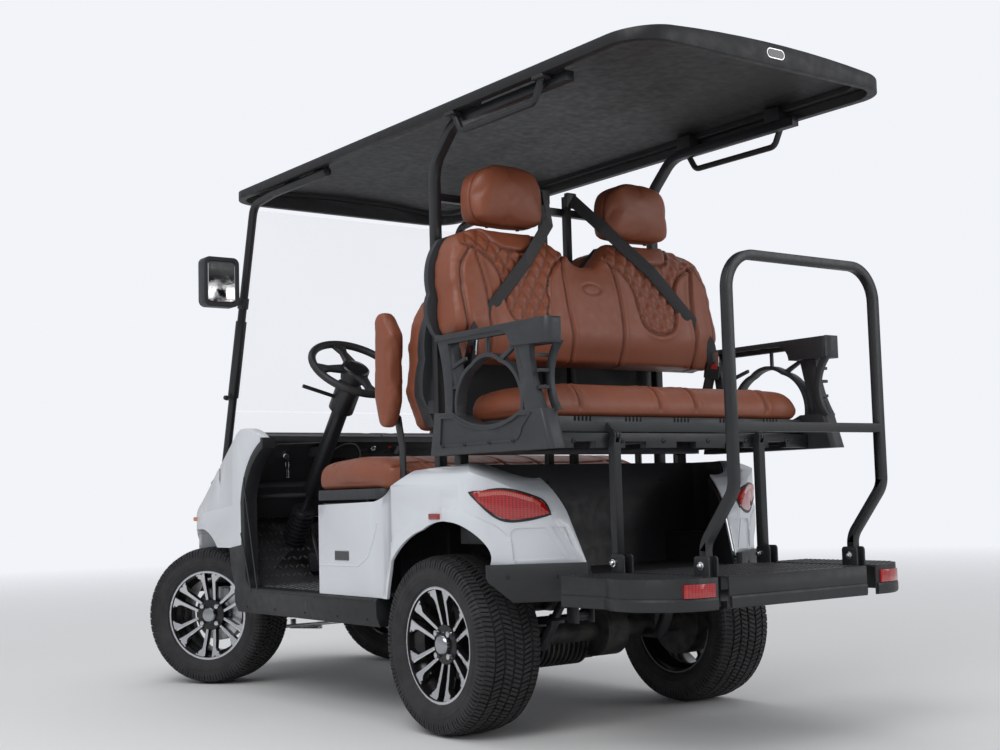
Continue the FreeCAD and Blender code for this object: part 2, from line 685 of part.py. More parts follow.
def cowl_solid(inset):
    """Hood and wheel flares as one solid, drawn inwards by an inset."""
    i = inset
    hood_side = cowl_outline(i) + [(-690 - i, 830, -575 - i, 920)]
    hood_plan = [(COWL_HALF - i, -500), (COWL_HALF - i, -780), (530 - i, -960, 500 - i, -1180),
                 (470 - i, -1330, 380 - i, -1500), (290 - i, NOSE_Y + i)]
    flare_side = [(-742 - i, 700 - i), (-1115, 660 - i), (-1300, 640 - i), (-1470, 618 - i),
                  (-1610 + i * 0.5, 574 - i), (NOSE_Y + i, 490), (NOSE_Y + i, 430 + i), (-1560, 395 + i)]
    flare_side += arch_edge(i)[:-1]
    flare_plan = [(COWL_HALF - i, -500), (COWL_HALF - i, -1050), (552 - i, -1120, 520 - i, -1203),
                  (400 - i, -1468), (372 - i, -1530, 300 - i, NOSE_Y + i)]
    solids = []
    for side, plan in ((hood_side, hood_plan), (flare_side, flare_plan)):
        seen_from_above = prism(plan + reversed_plan(plan), "z", 300, 1100)
        solids.append(prism(side, "x", -COWL_HALF, COWL_HALF).common(seen_from_above))
    return solids[0].fuse(solids[1]).removeSplitter()


def front_cowl():
    """Moulded nose and front wings, open behind, with lined wheel arches."""
    shell = cowl_solid(0).cut(cowl_solid(WALL))
    back = prism([(-560, 700), (-745.5, 700), (-741, 549), (-741, 500), (-560, 500)],
                 "x", -COWL_HALF - 5, COWL_HALF + 5)
    front = toe_line(-4)
    opening = prism([(-500, 300), front[0], front[1], (DASH_FRONT - 0.5, 790), (DASH_FRONT - 0.5, 900),
                     (-800, 1100), (-500, 1100)], "x", -525, 525)
    return cut(shell, [back, opening, shaft_hole(24)] + both(lens_prism(0.6)))


def lens_prism(grow):
    """Front view of the left head lamp, pushed through the nose."""
    middle = (320, 530)
    points = [(215, 498), (290, 556), (392, 588), (408, 574), (385, 528), (320, 490), (235, 482)]
    scale = 1 + grow / 40
    outline = [(middle[0] + (x - middle[0]) * scale, middle[1] + (z - middle[1]) * scale)
               for x, z in points]
    corner = [(200, NOSE_Y - 20), (200, -1630), (300, -1630), (330, -1580), (372, -1508),
              (400, -1446), (430, -1420),
              (430, NOSE_Y - 20)]
    return prism(outline, "y", NOSE_Y - 20, -1380).common(prism(corner, "z", 400, 700))


def headlamps():
    """Lamp lenses flush with the corners of the nose."""
    skin = cowl_solid(0).cut(cowl_solid(14))
    return [largest(skin.common(lens)) for lens in both(lens_prism(0))]


def front_bumper():
    """Black lower moulding under the nose, on brackets from the rails."""
    outline = [(-1551, 330), (-1560, 394.6), (NOSE_Y + 1, 429.4), (NOSE_Y + 1, 396), (NOSE_Y + 26, 330)]
    plan = [(400, -1540), (400, -1545), (372, -1570, 300, NOSE_Y)]
    inner = prism([(-1540, 340), (-1570, 380), (NOSE_Y + 22, 396), (NOSE_Y + 34, 340)], "x", -330, 330)
    bar = prism(outline, "x", -400, 400).common(prism(plan + reversed_plan(plan), "z", 300,
                                                      460)).cut(inner)
    brackets = [block((side * RAIL_X - 20, side * RAIL_X + 20), (NOSE_Y + 27, RAIL_FRONT - 0.3),
                      (RAIL_Z + 36, RAIL_Z + 62)) for side in (-1, 1)]
    return fuse([bar] + brackets)


def dash_body(grow):
    """Dash without its pockets, with its cabin face and underside moved out by an amount."""
    g = grow
    outline = [(-640 + g, 922), (-656, 950, -700, 956), (DASH_FRONT, 834), (DASH_FRONT, 790),
               (-912, 641 - g),
               (-826 + g, 641 - g), (-806 + g, 712), (-664 + g, 906)]
    return prism(outline, "x", -520, 520)


def dash():
    """Dash moulding with an inset panel on each side and two cup holders."""
    face = (141, 193)
    lean = math.degrees(math.atan2(face[1], face[0]))
    panel = [(-190, -66), (-150, 66), (150, 66), (190, -66)]
    tools = []
    for centre in (-290, 290):
        pocket = prism(panel, "z", -10, 40)
        pocket.rotate(vec(0, 0, 0), vec(1, 0, 0), lean)
        tools.append(moved(pocket, centre, -735, 809))
    for x in (-56, 56):
        tools.append(rod((x, -708, 880), (x, -708, 990), 38))
    return cut(dash_body(0), tools)


# Rear body

def rear_arch(grow):
    """Side view of the rear wheel arch, from its rear foot forwards, moved outwards by an amount."""
    g = grow
    return [(794 + g, 505), (772 + g, 590 + g * 0.4, 700 + g * 0.5, 628 + g),
            (620, 628 + g * 1.1, 540 - g * 0.5, 604 + g), (395 - g, 535 + g * 0.6, 294 - g, SKIRT_Z)]


def wing_body(inset, inner, flare=0):
    """Full body of the left rear wing, drawn in by an inset, flared sideways and out to an inner station."""
    i = inset
    s = inset - flare
    side = [
        (SIDE_Y + i, SKIRT_Z - i), (SIDE_Y + i, 685 - i), (200, 692 - i), (330, 726 - i, 450, 783 - i),
        (700, WING_TOP - i), (810 - i * 0.7, 735 - i * 0.7, 880 - i, 649), (940 - i, 495 - i),
        (794, 505 - i), (700, 511 - i), (700, SKIRT_Z - i),
    ]
    corner, end = WING_CORNER
    plan = [
        (inner, SIDE_Y - 1), (SIDE_X - s, SIDE_Y - 1), (SIDE_X - s, 170),
        (SIDE_X + 6 - s, 270, WING_X - s, 370),
        (WING_X - s, 640), (WING_X - 10 - s, 745, corner[0] - s, corner[1] - s * 0.6),
        (end[0], end[1] - s * 1.15),
        (inner, 950),
    ]
    front = [(50, 300), (WING_X + 20, 300), (WING_X + 20, 640), (WING_X - i, 700),
             (WING_X - 18 - i * 0.8, 766 - i * 0.6, WING_X - 76 - i * 0.6, WING_TOP + 2 - i),
             (50, WING_TOP + 9 - i)]
    body = prism(side, "x", 100, 700).common(prism(plan, "z", 300, 900))
    return body.common(prism(front, "y", SIDE_Y - 10, 1000))


def on_corner(outline, depth):
    """Outline in (distance along, height) on the wing's slanted rear, pushed square to it."""
    corner, end = WING_CORNER
    solid = prism(outline, "y", *depth)
    slant = math.degrees(math.atan2(end[1] - corner[1], end[0] - corner[0]))
    solid.rotate(vec(0, 0, 0), vec(0, 0, 1), slant)
    return moved(solid, *TAIL_LAMP)


def well_line(offset):
    """Plan of the edge where wing and bag well meet, moved sideways by an offset."""
    return [(490 + offset, 570), (490 + offset, 700), (440 + offset, 770, 349 + offset, 791),
            (323 + offset, 880), (WELL_X + offset, 941)]


def rear_wings():
    """White wings in one moulding with the side panels, a lip round each arch and recessed rear panels."""
    edge = [(0, SIDE_Y - 5), (540, SIDE_Y - 5), (540, 200), (508, 240), (508, 420), (490, 450)]
    edge += well_line(0) + [(WELL_X, 1000), (0, 1000)]
    band = prism(rear_arch(LIP_W) + [(294 - LIP_W, 300), (794 + LIP_W, 300)], "x", 470, 700)
    body = wing_body(0, 100).fuse(wing_body(0, 100, LIP_OUT).common(band))
    shell = cut(body, [wing_body(WALL, 60), prism(edge, "z", 290, 900)])
    arch_void = prism(rear_arch(0) + [(294, 290), (794, 290)], "x", 460, 710)
    panels = [[(-6, -104), (0, -90, 12, -84), (95, -84), (150, -173), (0, -176)],
              [(112, -82), (154, -84), (182, -175), (166, -173)]]
    recesses = [on_corner(panel, (-80, 60)).cut(wing_body(3, 60)) for panel in panels]
    return both(cut(shell, [tail_lamp_outline(0.6), arch_void] + recesses))


def tail_lamp_outline(grow):
    """Almond prism of the tail lamp, square to the wing's slanted rear."""
    g = grow
    almond = [(-118 - g, 20 + g * 0.3), (-20, 25 + g, 62 + g * 0.5, 3 + g),
              (92 + g, -14 + g, 106 + g, -44 - g),
              (45, -56 - g, -16, -58 - g), (-60 - g * 0.5, -36 - g, -118 - g, 20 + g * 0.3)]
    return on_corner(almond, (-80, 70))


def tail_lamps():
    lens = wing_body(-3, 100).cut(wing_body(WALL + 2, 60)).common(tail_lamp_outline(0))
    return both(lens)


def bag_well():
    """Black tub between the wings, open above and behind, with a shelf over each rear wheel."""
    def tub(inset, top):
        i = inset
        plan = [(-486 + i, 575 + i), (486 - i, 575 + i), (486 - i, 700), (430 - i, 768, 343 - i, 794),
                (317 - i, 880), (294 - i, 942), (-294 + i, 942), (-317 + i, 880), (-343 + i, 794),
                (-430 + i, 768, -486 + i, 700)]
        deep = block((-345 + i, 345 - i), (500, 1000), (KICK_Z + RAIL_H + 0.2 + i, top))
        wide = block((-600, 600), (500, 1000), (WHEEL_SHELF_Z + i, top))
        return prism(plan, "z", KICK_Z + RAIL_H, top).common(deep.fuse(wide))
    side = [(560, 400), (560, 795), (700, 795), (800, 730, 874, 649), (942, 470), (942, 400)]
    body = tub(0, 900).common(prism(side, "x", -600, 600))
    open_rear = block((-280, 280), (900, 1000), (KICK_Z + RAIL_H + WALL, 900))
    return cut(body, [tub(WALL, 950), open_rear])


def corner_bumpers():
    """Black mouldings between the wheel arch and the footrest."""
    outer = [(560, 790), (556, 806), (312, 955), (296, 947), (520, 790)]
    side = [(797, 520), (797, 470), (842, 398), (1000, 398), (1000, 520)]
    hanger = block((0, SPRING_X + 32), (889, 931), (390, KICK_Z + 41))
    wing = [wing_body(-0.3, 100, LIP_OUT), moved(wing_body(0, 100, LIP_OUT), 0, 0, -0.3)]
    body = prism(outer, "z", 398, 505).common(prism(side, "x", 0, 600))
    return both(cut(body, wing + [hanger]))


def seat_box():
    """Kick panel under the front seat and the ledge that the lid closes on, with hinge ears."""
    panel = block((-539.5, 539.5), (SIDE_Y - 4, SIDE_Y + 4), (RAIL_TOP + 0.3, LEDGE_Z + 1))
    ledge_plan = [(539.5, SIDE_Y - 4), (539.5, 198), (489, 240), (489, 340)]
    ledge = prism(ledge_plan + reversed_plan(ledge_plan), "z", LEDGE_Z + 0.3, LEDGE_Z + WALL)
    hole = block((-440, 440), (-120, 250), (LEDGE_Z - 10, LEDGE_Z + 20))
    recess = prism([(-420, 450), (420, 450), (400, 640), (-400, 640)], "y", SIDE_Y - 6, SIDE_Y - 1)
    hy, hz = LID_HINGE
    notches = [block((x - 26, x + 26), (hy - 8, hy + 18), (hz - 8, hz + 20)) for x in HINGE_X]
    sill_corners = both(block((FLOOR_HALF, 600), (SIDE_Y - 6, SIDE_Y + 6), (SILL_Z[0], SILL_Z[1] + 0.3)))
    parts = [cut(fuse([panel.cut(recess), ledge.cut(hole)]), notches + sill_corners)]
    for x in HINGE_X:
        for out in (-31, 26.5):
            parts.append(block((x + out, x + out + 4.5), (hy - 5, hy + 12), (LEDGE_Z - 12, hz + 3)))
        parts.append(rod((x - 30, hy, hz), (x + 30, hy, hz), 3))
    return fuse(parts)


# Posts, windscreen and roof

def rear_posts():
    """Roof posts with their rails, the belt bar and the two belt posts with their loop guides."""
    rail_z = ROOF_Z - 0.2 - POST_W / 2
    foot = UPPER_Z[1] + 0.2
    path = [(POST_X, POST_Y, foot), (POST_X, POST_Y, 1740), (POST_X, 560, rail_z), (POST_X, 1120, rail_z)]
    post = flat_bar(path, (110, 110), POST_W, POST_W, (1, 0, 0))
    bar = block((-POST_X, POST_X), (POST_Y - 12, POST_Y + 12), (1628, 1652))
    parts = [post, flip(post), bar]
    for x in (-BELT_POST_X, BELT_POST_X):
        parts.append(block((x - 11, x + 11), BELT_POST_Y, (foot, 1690)))
        parts.append(block((x - 11, x + 11), (POST_Y + 10, BELT_POST_Y[0] + 2), (1630, 1650)))
    parts += [block((-BELT_POST_X, BELT_POST_X), (458, 474), (z, z + 16)) for z in (1420, 1120)]
    parts += both(block((36, 78), (BELT_POST_Y[1] - 1, 489), (1650, 1700), 5, "y"))
    return fuse(parts)


def screen_line(z):
    """Depth of the windscreen posts' middle line at a height."""
    slope = (SCREEN_TOP[0] - SCREEN_FOOT[0]) / (SCREEN_TOP[1] - SCREEN_FOOT[1])
    return SCREEN_FOOT[0] + (z - SCREEN_FOOT[1]) * slope


def post_sleeve(low, high, grow):
    """Sleeve round the windscreen post between two heights, larger by an amount."""
    x = SCREEN_POST_X
    return rod((x, screen_line(low), low), (x, screen_line(high), high), SCREEN_POST_D / 2 + 5 + grow)


def screen_posts():
    """Front posts that stand on the cowl, hold the windscreen and run back along the roof."""
    rail_z = ROOF_Z - 0.2 - SCREEN_POST_D / 2
    x = SCREEN_POST_X
    foot = (x, screen_line(740), 740)
    post = round_tube([foot, (x, *SCREEN_TOP), (x, -600, rail_z), (x, -200, rail_z)], (60, 160),
                      SCREEN_POST_D)
    sleeve = post_sleeve(*SLEEVE_Z, 0)
    plate = cowl_solid(-8).common(block((x - 26, x + 26), (-1120, DASH_FRONT - 4), (700, 900)))
    return both(largest(fuse([post, sleeve, plate]).cut(cowl_solid(-0.3))))


def windscreen():
    """Two clear sheets, one above the other, between the posts."""
    half = SCREEN_POST_X - SCREEN_POST_D / 2 - 0.3

    def sheet(low, high):
        foot, head = screen_line(low), screen_line(high)
        outline = [(foot, low), (head, high), (head + SCREEN_T, high), (foot + SCREEN_T, low)]
        return prism(outline, "x", -half, half)
    notches = [post_sleeve(low - 4, high + 4, 4) for low, high in (SLEEVE_Z, CLAMP_Z)]
    upper = cut(sheet(SCREEN_SEAM + 3, SCREEN_TOP[1] - 20), notches + [flip(notch) for notch in notches])
    return [sheet(SCREEN_FOOT[1] + 40, SCREEN_SEAM - 3), upper]


def mirrors():
    """Door mirrors, their glass recessed in the rear face, on arms from the posts."""
    body = block((560, 702), (-790, -738), (1432, 1618), 24, "y")
    pocket = block((574, 688), (-742, -730), (1446, 1604), 14, "y")
    z = sum(CLAMP_Z) / 2
    arm = round_tube([(SCREEN_POST_X, screen_line(z), z), (545, -830, z), (600, -770, z + 12)], (40,), 16)
    clamp = post_sleeve(*CLAMP_Z, 0)
    post = rod((SCREEN_POST_X, screen_line(z - 60), z - 60), (SCREEN_POST_X, screen_line(z + 60), z + 60),
               SCREEN_POST_D / 2 + 0.2)
    return both(fuse([body.cut(pocket), arm, clamp]).cut(post))


def roof():
    """Crowned roof with a deep rim, a raised deck above and ribs below."""
    def plan(inset, radius):
        half = ROOF_HALF - inset
        return round_rect((-half, half), (ROOF_FRONT + inset, ROOF_REAR - inset), radius, radius)

    def slab(inset, radius, low, edge):
        half = ROOF_HALF + 10
        section = [(-half, low), (half, low), (half, edge - 1), (0, edge + ROOF_CROWN, -half, edge - 1)]
        crowned = prism(section, "y", ROOF_FRONT - 10, ROOF_REAR + 10)
        return crowned.common(prism(plan(inset, radius), "z", low - 1, edge + 100))

    edge = ROOF_Z + ROOF_RIM
    outer = slab(0, 120, ROOF_Z, edge - ROOF_STEP)
    deck = slab(46, 110, ROOF_Z + 20, edge)
    hollow = slab(26, 100, ROOF_Z - 10, edge - ROOF_STEP - ROOF_T)
    under_deck = slab(46 + ROOF_T, 106, ROOF_Z - 10, edge - ROOF_T)
    fill = slab(44, 108, ROOF_Z + 8, edge - 2)
    middle = (ROOF_FRONT + ROOF_REAR) / 2
    reach = (ROOF_REAR - ROOF_FRONT) / 2
    ribs = [block((-ROOF_HALF, ROOF_HALF), (y - 22, y + 22), (ROOF_Z, edge + 100))
            for y in [middle + reach * share for share in (-0.72, -0.36, 0, 0.36, 0.72)]]
    ribs += [block((x - 22, x + 22), (ROOF_FRONT, ROOF_REAR), (ROOF_Z, edge + 100)) for x in (-250, 250)]
    seats = ((SCREEN_POST_X, -480), (SCREEN_POST_X, -260), (POST_X, 640), (POST_X, 1040))
    pads = [block((side * x - 24, side * x + 24), (y - 30, y + 30), (ROOF_Z, edge + 100))
            for side in (-1, 1) for x, y in seats]
    web = Part.makeCompound(ribs).common(fill)
    blocks = Part.makeCompound(pads).common(slab(20, 100, ROOF_Z, edge - 10))
    shell = cut(fuse([outer, deck]), [hollow, under_deck])
    return fuse([shell] + web.Solids + blocks.Solids)


def assist_handles():
    """Grab handles on brackets below the roof's sides."""
    x = 492
    top = ROOF_Z - 0.2
    loop = round_tube([(x, 600, top), (x, 640, 1802), (x, 1000, 1802), (x, 1035, top)], (30, 30), 20)
    feet = [block((x - 16, x + 22), (y - 26, y + 26), (top - 10, top), 8, "z") for y in (598, 1037)]
    return both(fuse([loop] + feet).common(block((400, 600), (500, 1100), (1700, top))))


# Back rests

def pad(outline, side, half):
    """Seat pad: a front outline met with a side outline."""
    return prism(outline, "y", side[0][0] - 400, side[0][0] + 400).common(prism(side, "x", -half, half))


def cushion_section(half, low, top, drop):
    """Cross section of a cushion, crowned between shoulders that lie a drop below its top."""
    shoulder = half - 22
    return [(-half + 6, low), (half - 6, low), (half, low + 40, shoulder, top - drop),
            (0, top + 6, -shoulder, top - drop), (-half, low + 40, -half + 6, low)]


def back_outline(half, waist, low, top, inset):
    """Front outline of a two-place back rest with a notch in the middle."""
    i = inset
    right = [(waist - i, low + i), (half - 4 - i, low + 112), (half - i, low + 124),
             (half - 4, low + 180, half - 6 - i, low + 230),
             (half - 16 - i, top - 80, half - 62 - i, top - i * 0.5), (410, top + 40 - i),
             (150, top + 40 - i),
             (95, top - 8 - i, 40, top - 58 - i)]
    return right + reversed_plan(right)


def rear_back_pad():
    low, top = REAR_BACK_Z
    side = [(575, low), (655, low + 14), (665, low + 120), (612, top - 30), (560, top + 44),
            (510, top + 44)]
    notch = both(block((REAR_ARM_X[0] - 10, 700), (560, 760), (low - 20, REAR_ARM_TOP + 6)))
    return cut(pad(back_outline(575, 500, low, top, 0), side, 600), notch)


def front_back_pad():
    low, top = FRONT_BACK_Z
    foot, head = FRONT_BACK_Y
    side = [(foot, low), (284, low + 14), (276, low + 120), (312, top - 30), (352, top + 44),
            (head, top + 44)]
    return pad(back_outline(497, 440, low, top, 0), side, 600)


def back_plane(heights, depths, offset):
    """Rear plane of a back rest's pad at a height, moved by an offset. Depths are for foot and head."""
    low, top = heights
    slope = (depths[1] - depths[0]) / (top + 44 - low)
    return lambda z: depths[0] + (z - low) * slope + offset


def shell_side(heights, depths, shell_depths):
    """Side view of a hard shell behind a pad, from the pad's rear plane to the shell's own."""
    low, top = heights[0] + 20, heights[1] + 20
    near = back_plane(heights, depths, 0.3 if shell_depths[0] > depths[0] else -0.3)
    far = back_plane(heights, shell_depths, 0)
    return [(near(low), low), (near(top), top), (far(top), top), (far(low), low)]


def back_shells():
    """Hard shells behind both back rests, with pads that sit on the posts."""
    front_side = shell_side(FRONT_BACK_Z, FRONT_BACK_Y, FRONT_SHELL_Y)
    rear_side = shell_side(REAR_BACK_Z, REAR_BACK_Y, REAR_SHELL_Y)
    front = pad(back_outline(497, 440, *FRONT_BACK_Z, 6), front_side, 600)
    rear = pad(back_outline(575, 500, *REAR_BACK_Z, 14), rear_side, 600)
    front_at = back_plane(FRONT_BACK_Z, FRONT_SHELL_Y, -8)
    rear_at = back_plane(REAR_BACK_Z, REAR_SHELL_Y, 8)
    fronts = [block((x - 12, x + 12), (front_at(z + 20), POST_Y - POST_W / 2 - 0.3), (z, z + 40))
              for z in (960, 1240) for x in (-POST_X, POST_X)]
    rears = [block((x - 11, x + 11), (BELT_POST_Y[1] + 0.3, rear_at(z + 20)), (z, z + 40))
             for z in (1130, 1380) for x in (-BELT_POST_X, BELT_POST_X)]
    return [fuse([front] + fronts), fuse([rear] + rears)]


def head_rests():
    """Two rounded head rests on each back rest, with two bars each."""
    rests = []
    for ys, zs, x, half, back in (((318, 420), (1392, 1530), 280, 134, FRONT_BACK_Z),
                                  ((480, 598), (1560, 1738), 273, 132, REAR_BACK_Z)):
        body = pillow((x - half, x + half), ys, zs, 38, 64)
        middle = (ys[0] + ys[1]) / 2
        bars = [rod((x + dx, middle, back[1] + 40.2), (x + dx, middle, zs[0] + 10),
                    6) for dx in (-60, 60)]
        rests += both(fuse([body] + bars))
    return rests


def seat_belts():
    """Webbing from the shoulder guides across each rear back rest and down to the outer anchors."""
    points = [(57, 491, 1676), (112, 578, 1572), (262, 646, 1423), (488, 678, 1190), (500, 676, 1130),
              (505, 640, 1040), (505, 600, 970), (505, 592, BEAM_Z[1] + 1)]
    strap = flat_bar(points, (40, 60, 60, 25, 40, 60), 46, 2, (0.62, 0, 0.78))
    return both(strap)


# Front seat

def front_seat_plan(half, corner):
    """Plan of the front seat, its rear corners stepped in beside the wings."""
    front, rear = FRONT_SEAT_Y
    right = [(half - 50, front), (half - 12, front + 12, half, front + 50), (half, corner - 40),
             (half - 16, corner - 12, FRONT_SEAT_WAIST, corner), (FRONT_SEAT_WAIST, rear)]
    return right + reversed_plan(right)


def front_seat_base():
    """Board under the front cushion with its hinge barrels."""
    board = prism(front_seat_plan(FRONT_SEAT_HALF - 6, 208), "z", LID_Z, LID_Z + FRONT_BASE_T)
    trim = block((-600, 600), (FRONT_SEAT_Y[0] + 8, FRONT_SEAT_Y[1] - 6),
                 (LID_Z - 1, LID_Z + FRONT_BASE_T + 1))
    board = board.common(trim)
    hy, hz = LID_HINGE
    parts = [board]
    for x in HINGE_X:
        parts.append(rod((x - 24, hy, hz), (x + 24, hy, hz), 6))
        parts.append(block((x - 24, x + 24), (hy - 4, hy + 4), (hz, LID_Z + 2)))
    bores = [rod((x - 26, hy, hz), (x + 26, hy, hz), 3 + BORE_GAP) for x in HINGE_X]
    ear_pockets = [block((x + out, x + out + 6.5), (hy - 16, hy + 16), (LID_Z - 1, LID_Z + 6))
                   for x in HINGE_X for out in (-32, 25.5)]
    return cut(fuse(parts), bores + ear_pockets)


def front_seat_cushion():
    low, top = LID_Z + FRONT_BASE_T + 0.3, FRONT_SEAT_TOP
    front, rear = FRONT_SEAT_Y
    side = [(front + 6, low), (front - 4, low + 36, front + 30, top - 6),
            (front + 120, top + 4, rear, top - 34), (rear, low)]
    section = cushion_section(FRONT_SEAT_HALF, low, top, 6)
    plan = prism(front_seat_plan(FRONT_SEAT_HALF, 262), "z", low, top + 20)
    body = prism(side, "x", -FRONT_SEAT_HALF, FRONT_SEAT_HALF)
    return body.common(prism(section, "y", front - 20, rear)).common(plan)


def front_armrest(side):
    """Padded arm, folded up beside the back rest, with the bore for its pivot."""
    low, high = ARMREST_X
    py, pz = ARMREST_PIVOT
    outline = [(py - 26, pz - 14), (py - 52, pz + 70), (py - 42, pz + 292),
               (py - 26, pz + 342, py + 20, pz + 332),
               (py + 66, pz + 272), (py + 54, pz + 52), (py + 24, pz - 14),
               (py, pz - 26, py - 26, pz - 14)]
    faces = (low + 4, high)
    arm = prism(outline, "x", *faces)
    arm = rounded(arm, 13, lambda edge, middle: min(abs(middle.x - face) for face in faces) < 0.01)
    arm = arm.cut(rod((low, py, pz), (low + 44, py, pz), ARMREST_PIN_R + BORE_GAP))
    return arm if side > 0 else flip(arm)


# Rear seat

def rear_seat_deck():
    """Board of the flip seat with vent combs along its rear edge and hinge arms."""
    low, high = DECK_Z
    board = block((-DECK_HALF, DECK_HALF), DECK_Y, DECK_Z, 12, "z")
    slots = []
    for group in range(5):
        for slot in range(5):
            x = -408 + group * 190 + slot * 14
            slots.append(block((x, x + 8), (DECK_Y[1] - 8, DECK_Y[1] + 5), (high - 13, high + 1)))
    parts = [board.cut(Part.makeCompound(slots))]
    hy, hz = FLIP_HINGE
    for x in (-STRUT_X, STRUT_X):
        arm = prism([(DECK_Y[1] - 4, low), (DECK_Y[1] - 4, low + 30), (hy, hz + 12),
                     (hy + 12, hz, hy, hz - 12),
                     (hy - 12, hz + 4), (BEAM_Y[1] + 1, BEAM_Z[1] + 2)], "x", x - 4, x + 4)
        arm = arm.cut(rod((x - 10, hy, hz), (x + 10, hy, hz), 5 + BORE_GAP))
        parts.append(arm)
    return fuse(parts)


def rear_seat_cushion():
    low, top = DECK_Z[1] + 0.3, REAR_SEAT_TOP
    front, rear = DECK_Y[0] + 16, DECK_Y[1] - 4
    side = [(rear, low), (rear + 2, low + 40, rear - 30, top - 6),
            (rear - 130, top, front, top - 14), (front, low)]
    half = DECK_HALF - 2
    section = cushion_section(half, low, top, 12)
    return prism(side, "x", -half, half).common(prism(section, "y", front, rear + 10))


def rear_seat_frame():
    """Frame under the rear seat on two struts from the footrest, with the flip seat's hinge ears."""
    low, high = BEAM_Z
    front, rear = BEAM_Y
    rear_beam = block((-BEAM_HALF, BEAM_HALF), (rear - 26, rear), BEAM_Z)
    notches = [block((x - 40, x + 40), (rear - 30, rear + 5), (low - 1, low + 18))
               for x in (-390, -200, 0, 200, 390)]
    parts = [rear_beam.cut(Part.makeCompound(notches))]
    parts.append(block((-BEAM_HALF, BEAM_HALF), (front - 30, front), BEAM_Z))
    for x in (-BEAM_HALF, -180, 150, BEAM_HALF - 30):
        parts.append(block((x, x + 30), (front - 4, rear - 4), (low + 12, high)))
    hy, hz = FLIP_HINGE
    half = STRUT_W / 2
    for x in (-STRUT_X, STRUT_X):
        parts.append(block((x - half, x + half), (STRUT_Y - half, STRUT_Y + half),
                           (STEP_Z[0] + 36.3, 840)))
        parts += [prism([(STRUT_Y - half, 838), (STRUT_Y + half, 838), (hy + 11, hz),
                         (hy, hz + 11, hy - 11, hz)],
                        "x", x + a, x + a + 6) for a in (-half, half - 6)]
        parts.append(block((x - half, x + half), (rear - 2, STRUT_Y - half + 1), (low + 2, 840)))
        parts.append(rod((x - half, hy, hz), (x + half, hy, hz), 5))
    return fuse(parts)


def arm_base():
    """Scooped foot of the rear armrest, with a raised rim round its recessed outer panel."""
    inner, outer = REAR_ARM_X
    seat = BEAM_Z[0] - 4
    front, rear = 582, 1152
    base = prism([(front, seat), (608, 947), (701, 943), (861, 899, 1020, 930), (1118, 930),
                  (rear, seat)],
                 "x", inner, outer + 2)
    base = rounded(base, 16, lambda edge, middle: middle.y > 1130 and run_of(edge) != "x")

    def panel(grow):
        g = grow
        return [(636 - g, 852 - g), (644 - g, 928 + g), (704 + g * 0.4, 926 + g),
                (861, 884 + g, 1014, 916 + g),
                (1060 + g * 2, 916 + g), (1024 + g, 884 - g * 0.4),
                (1004 + g, 856 - g * 0.6, 980, 852 - g)]
    rim = prism(panel(6), "x", outer, outer + 5).cut(prism(panel(0), "x", outer - 2, outer + 8))
    recess = prism(panel(0), "x", outer - 1, outer + 8)
    return base.cut(recess).fuse(rim)


def arm_truss():
    """Ribbed frame of the rear armrest round an arched opening, with windows between frame and arch."""
    inner, outer = REAR_ARM_X
    arch = [(712, 925), (734, 1040, 792, 1078), (867, 1102, 934, 1078), (1006, 1030, 1030, 925)]
    opening = [(722, 925), (744, 1032, 798, 1069), (867, 1090, 928, 1069), (994, 1026, 1018, 925)]
    frame_outline = [(655, 925), (652, 1051, 622, 1162), (1000, 1162), (1012, 1108), (1062, 925)]
    frame_inside = [(690, 925), (694, 1060, 676, 1146), (984, 1146), (998, 1100), (1040, 925)]
    webs = [
        [(680, 1066), (760, 1090), (760, 1100), (680, 1078)],
        [(930, 1070), (1012, 1112), (1012, 1122), (924, 1084)],
        [(690, 1010), (730, 1014), (730, 1024), (690, 1020)],
        [(1000, 1000), (1030, 1004), (1030, 1014), (996, 1010)],
    ]
    outside = outer - 2
    frame_ring = prism(frame_outline, "x", outer - 20, outside).cut(prism(frame_inside, "x", 500, 700))
    arch_ring = prism(arch, "x", outer - 34, outside)
    ribs = [prism(web, "x", outer - 14, outside - 2) for web in webs]
    ribs.append(block((outer - 14, outside - 2), (863, 871), (1090, 1150)))
    return fuse([frame_ring, arch_ring] + ribs).cut(prism(opening, "x", 500, 700))


def arm_top():
    """Top of the rear armrest: a thin ribbed strip in front and a deep rounded end with a cup place."""
    inner, outer = REAR_ARM_X
    side = [(616, 1158), (620, 1172, 640, REAR_ARM_TOP), (1132, REAR_ARM_TOP),
            (1150, REAR_ARM_TOP - 6, 1150, 1156),
            (1148, 1104), (985, 1108), (972, 1140, 935, 1158)]
    plan = block((inner - 4, outer + 4), (600, 1150), (1090, 1190), 28, "z")
    top = prism(side, "x", inner - 4, outer + 4).common(plan)
    channels = [block((inner + 3, outer - 3), (y, y + 54), (1150, REAR_ARM_TOP - 5))
                for y in (650, 710, 770, 830)]
    cup = rod(((inner + outer) / 2, 1074, 1126), ((inner + outer) / 2, 1074, 1190), 22)
    return cut(top, channels + [cup])


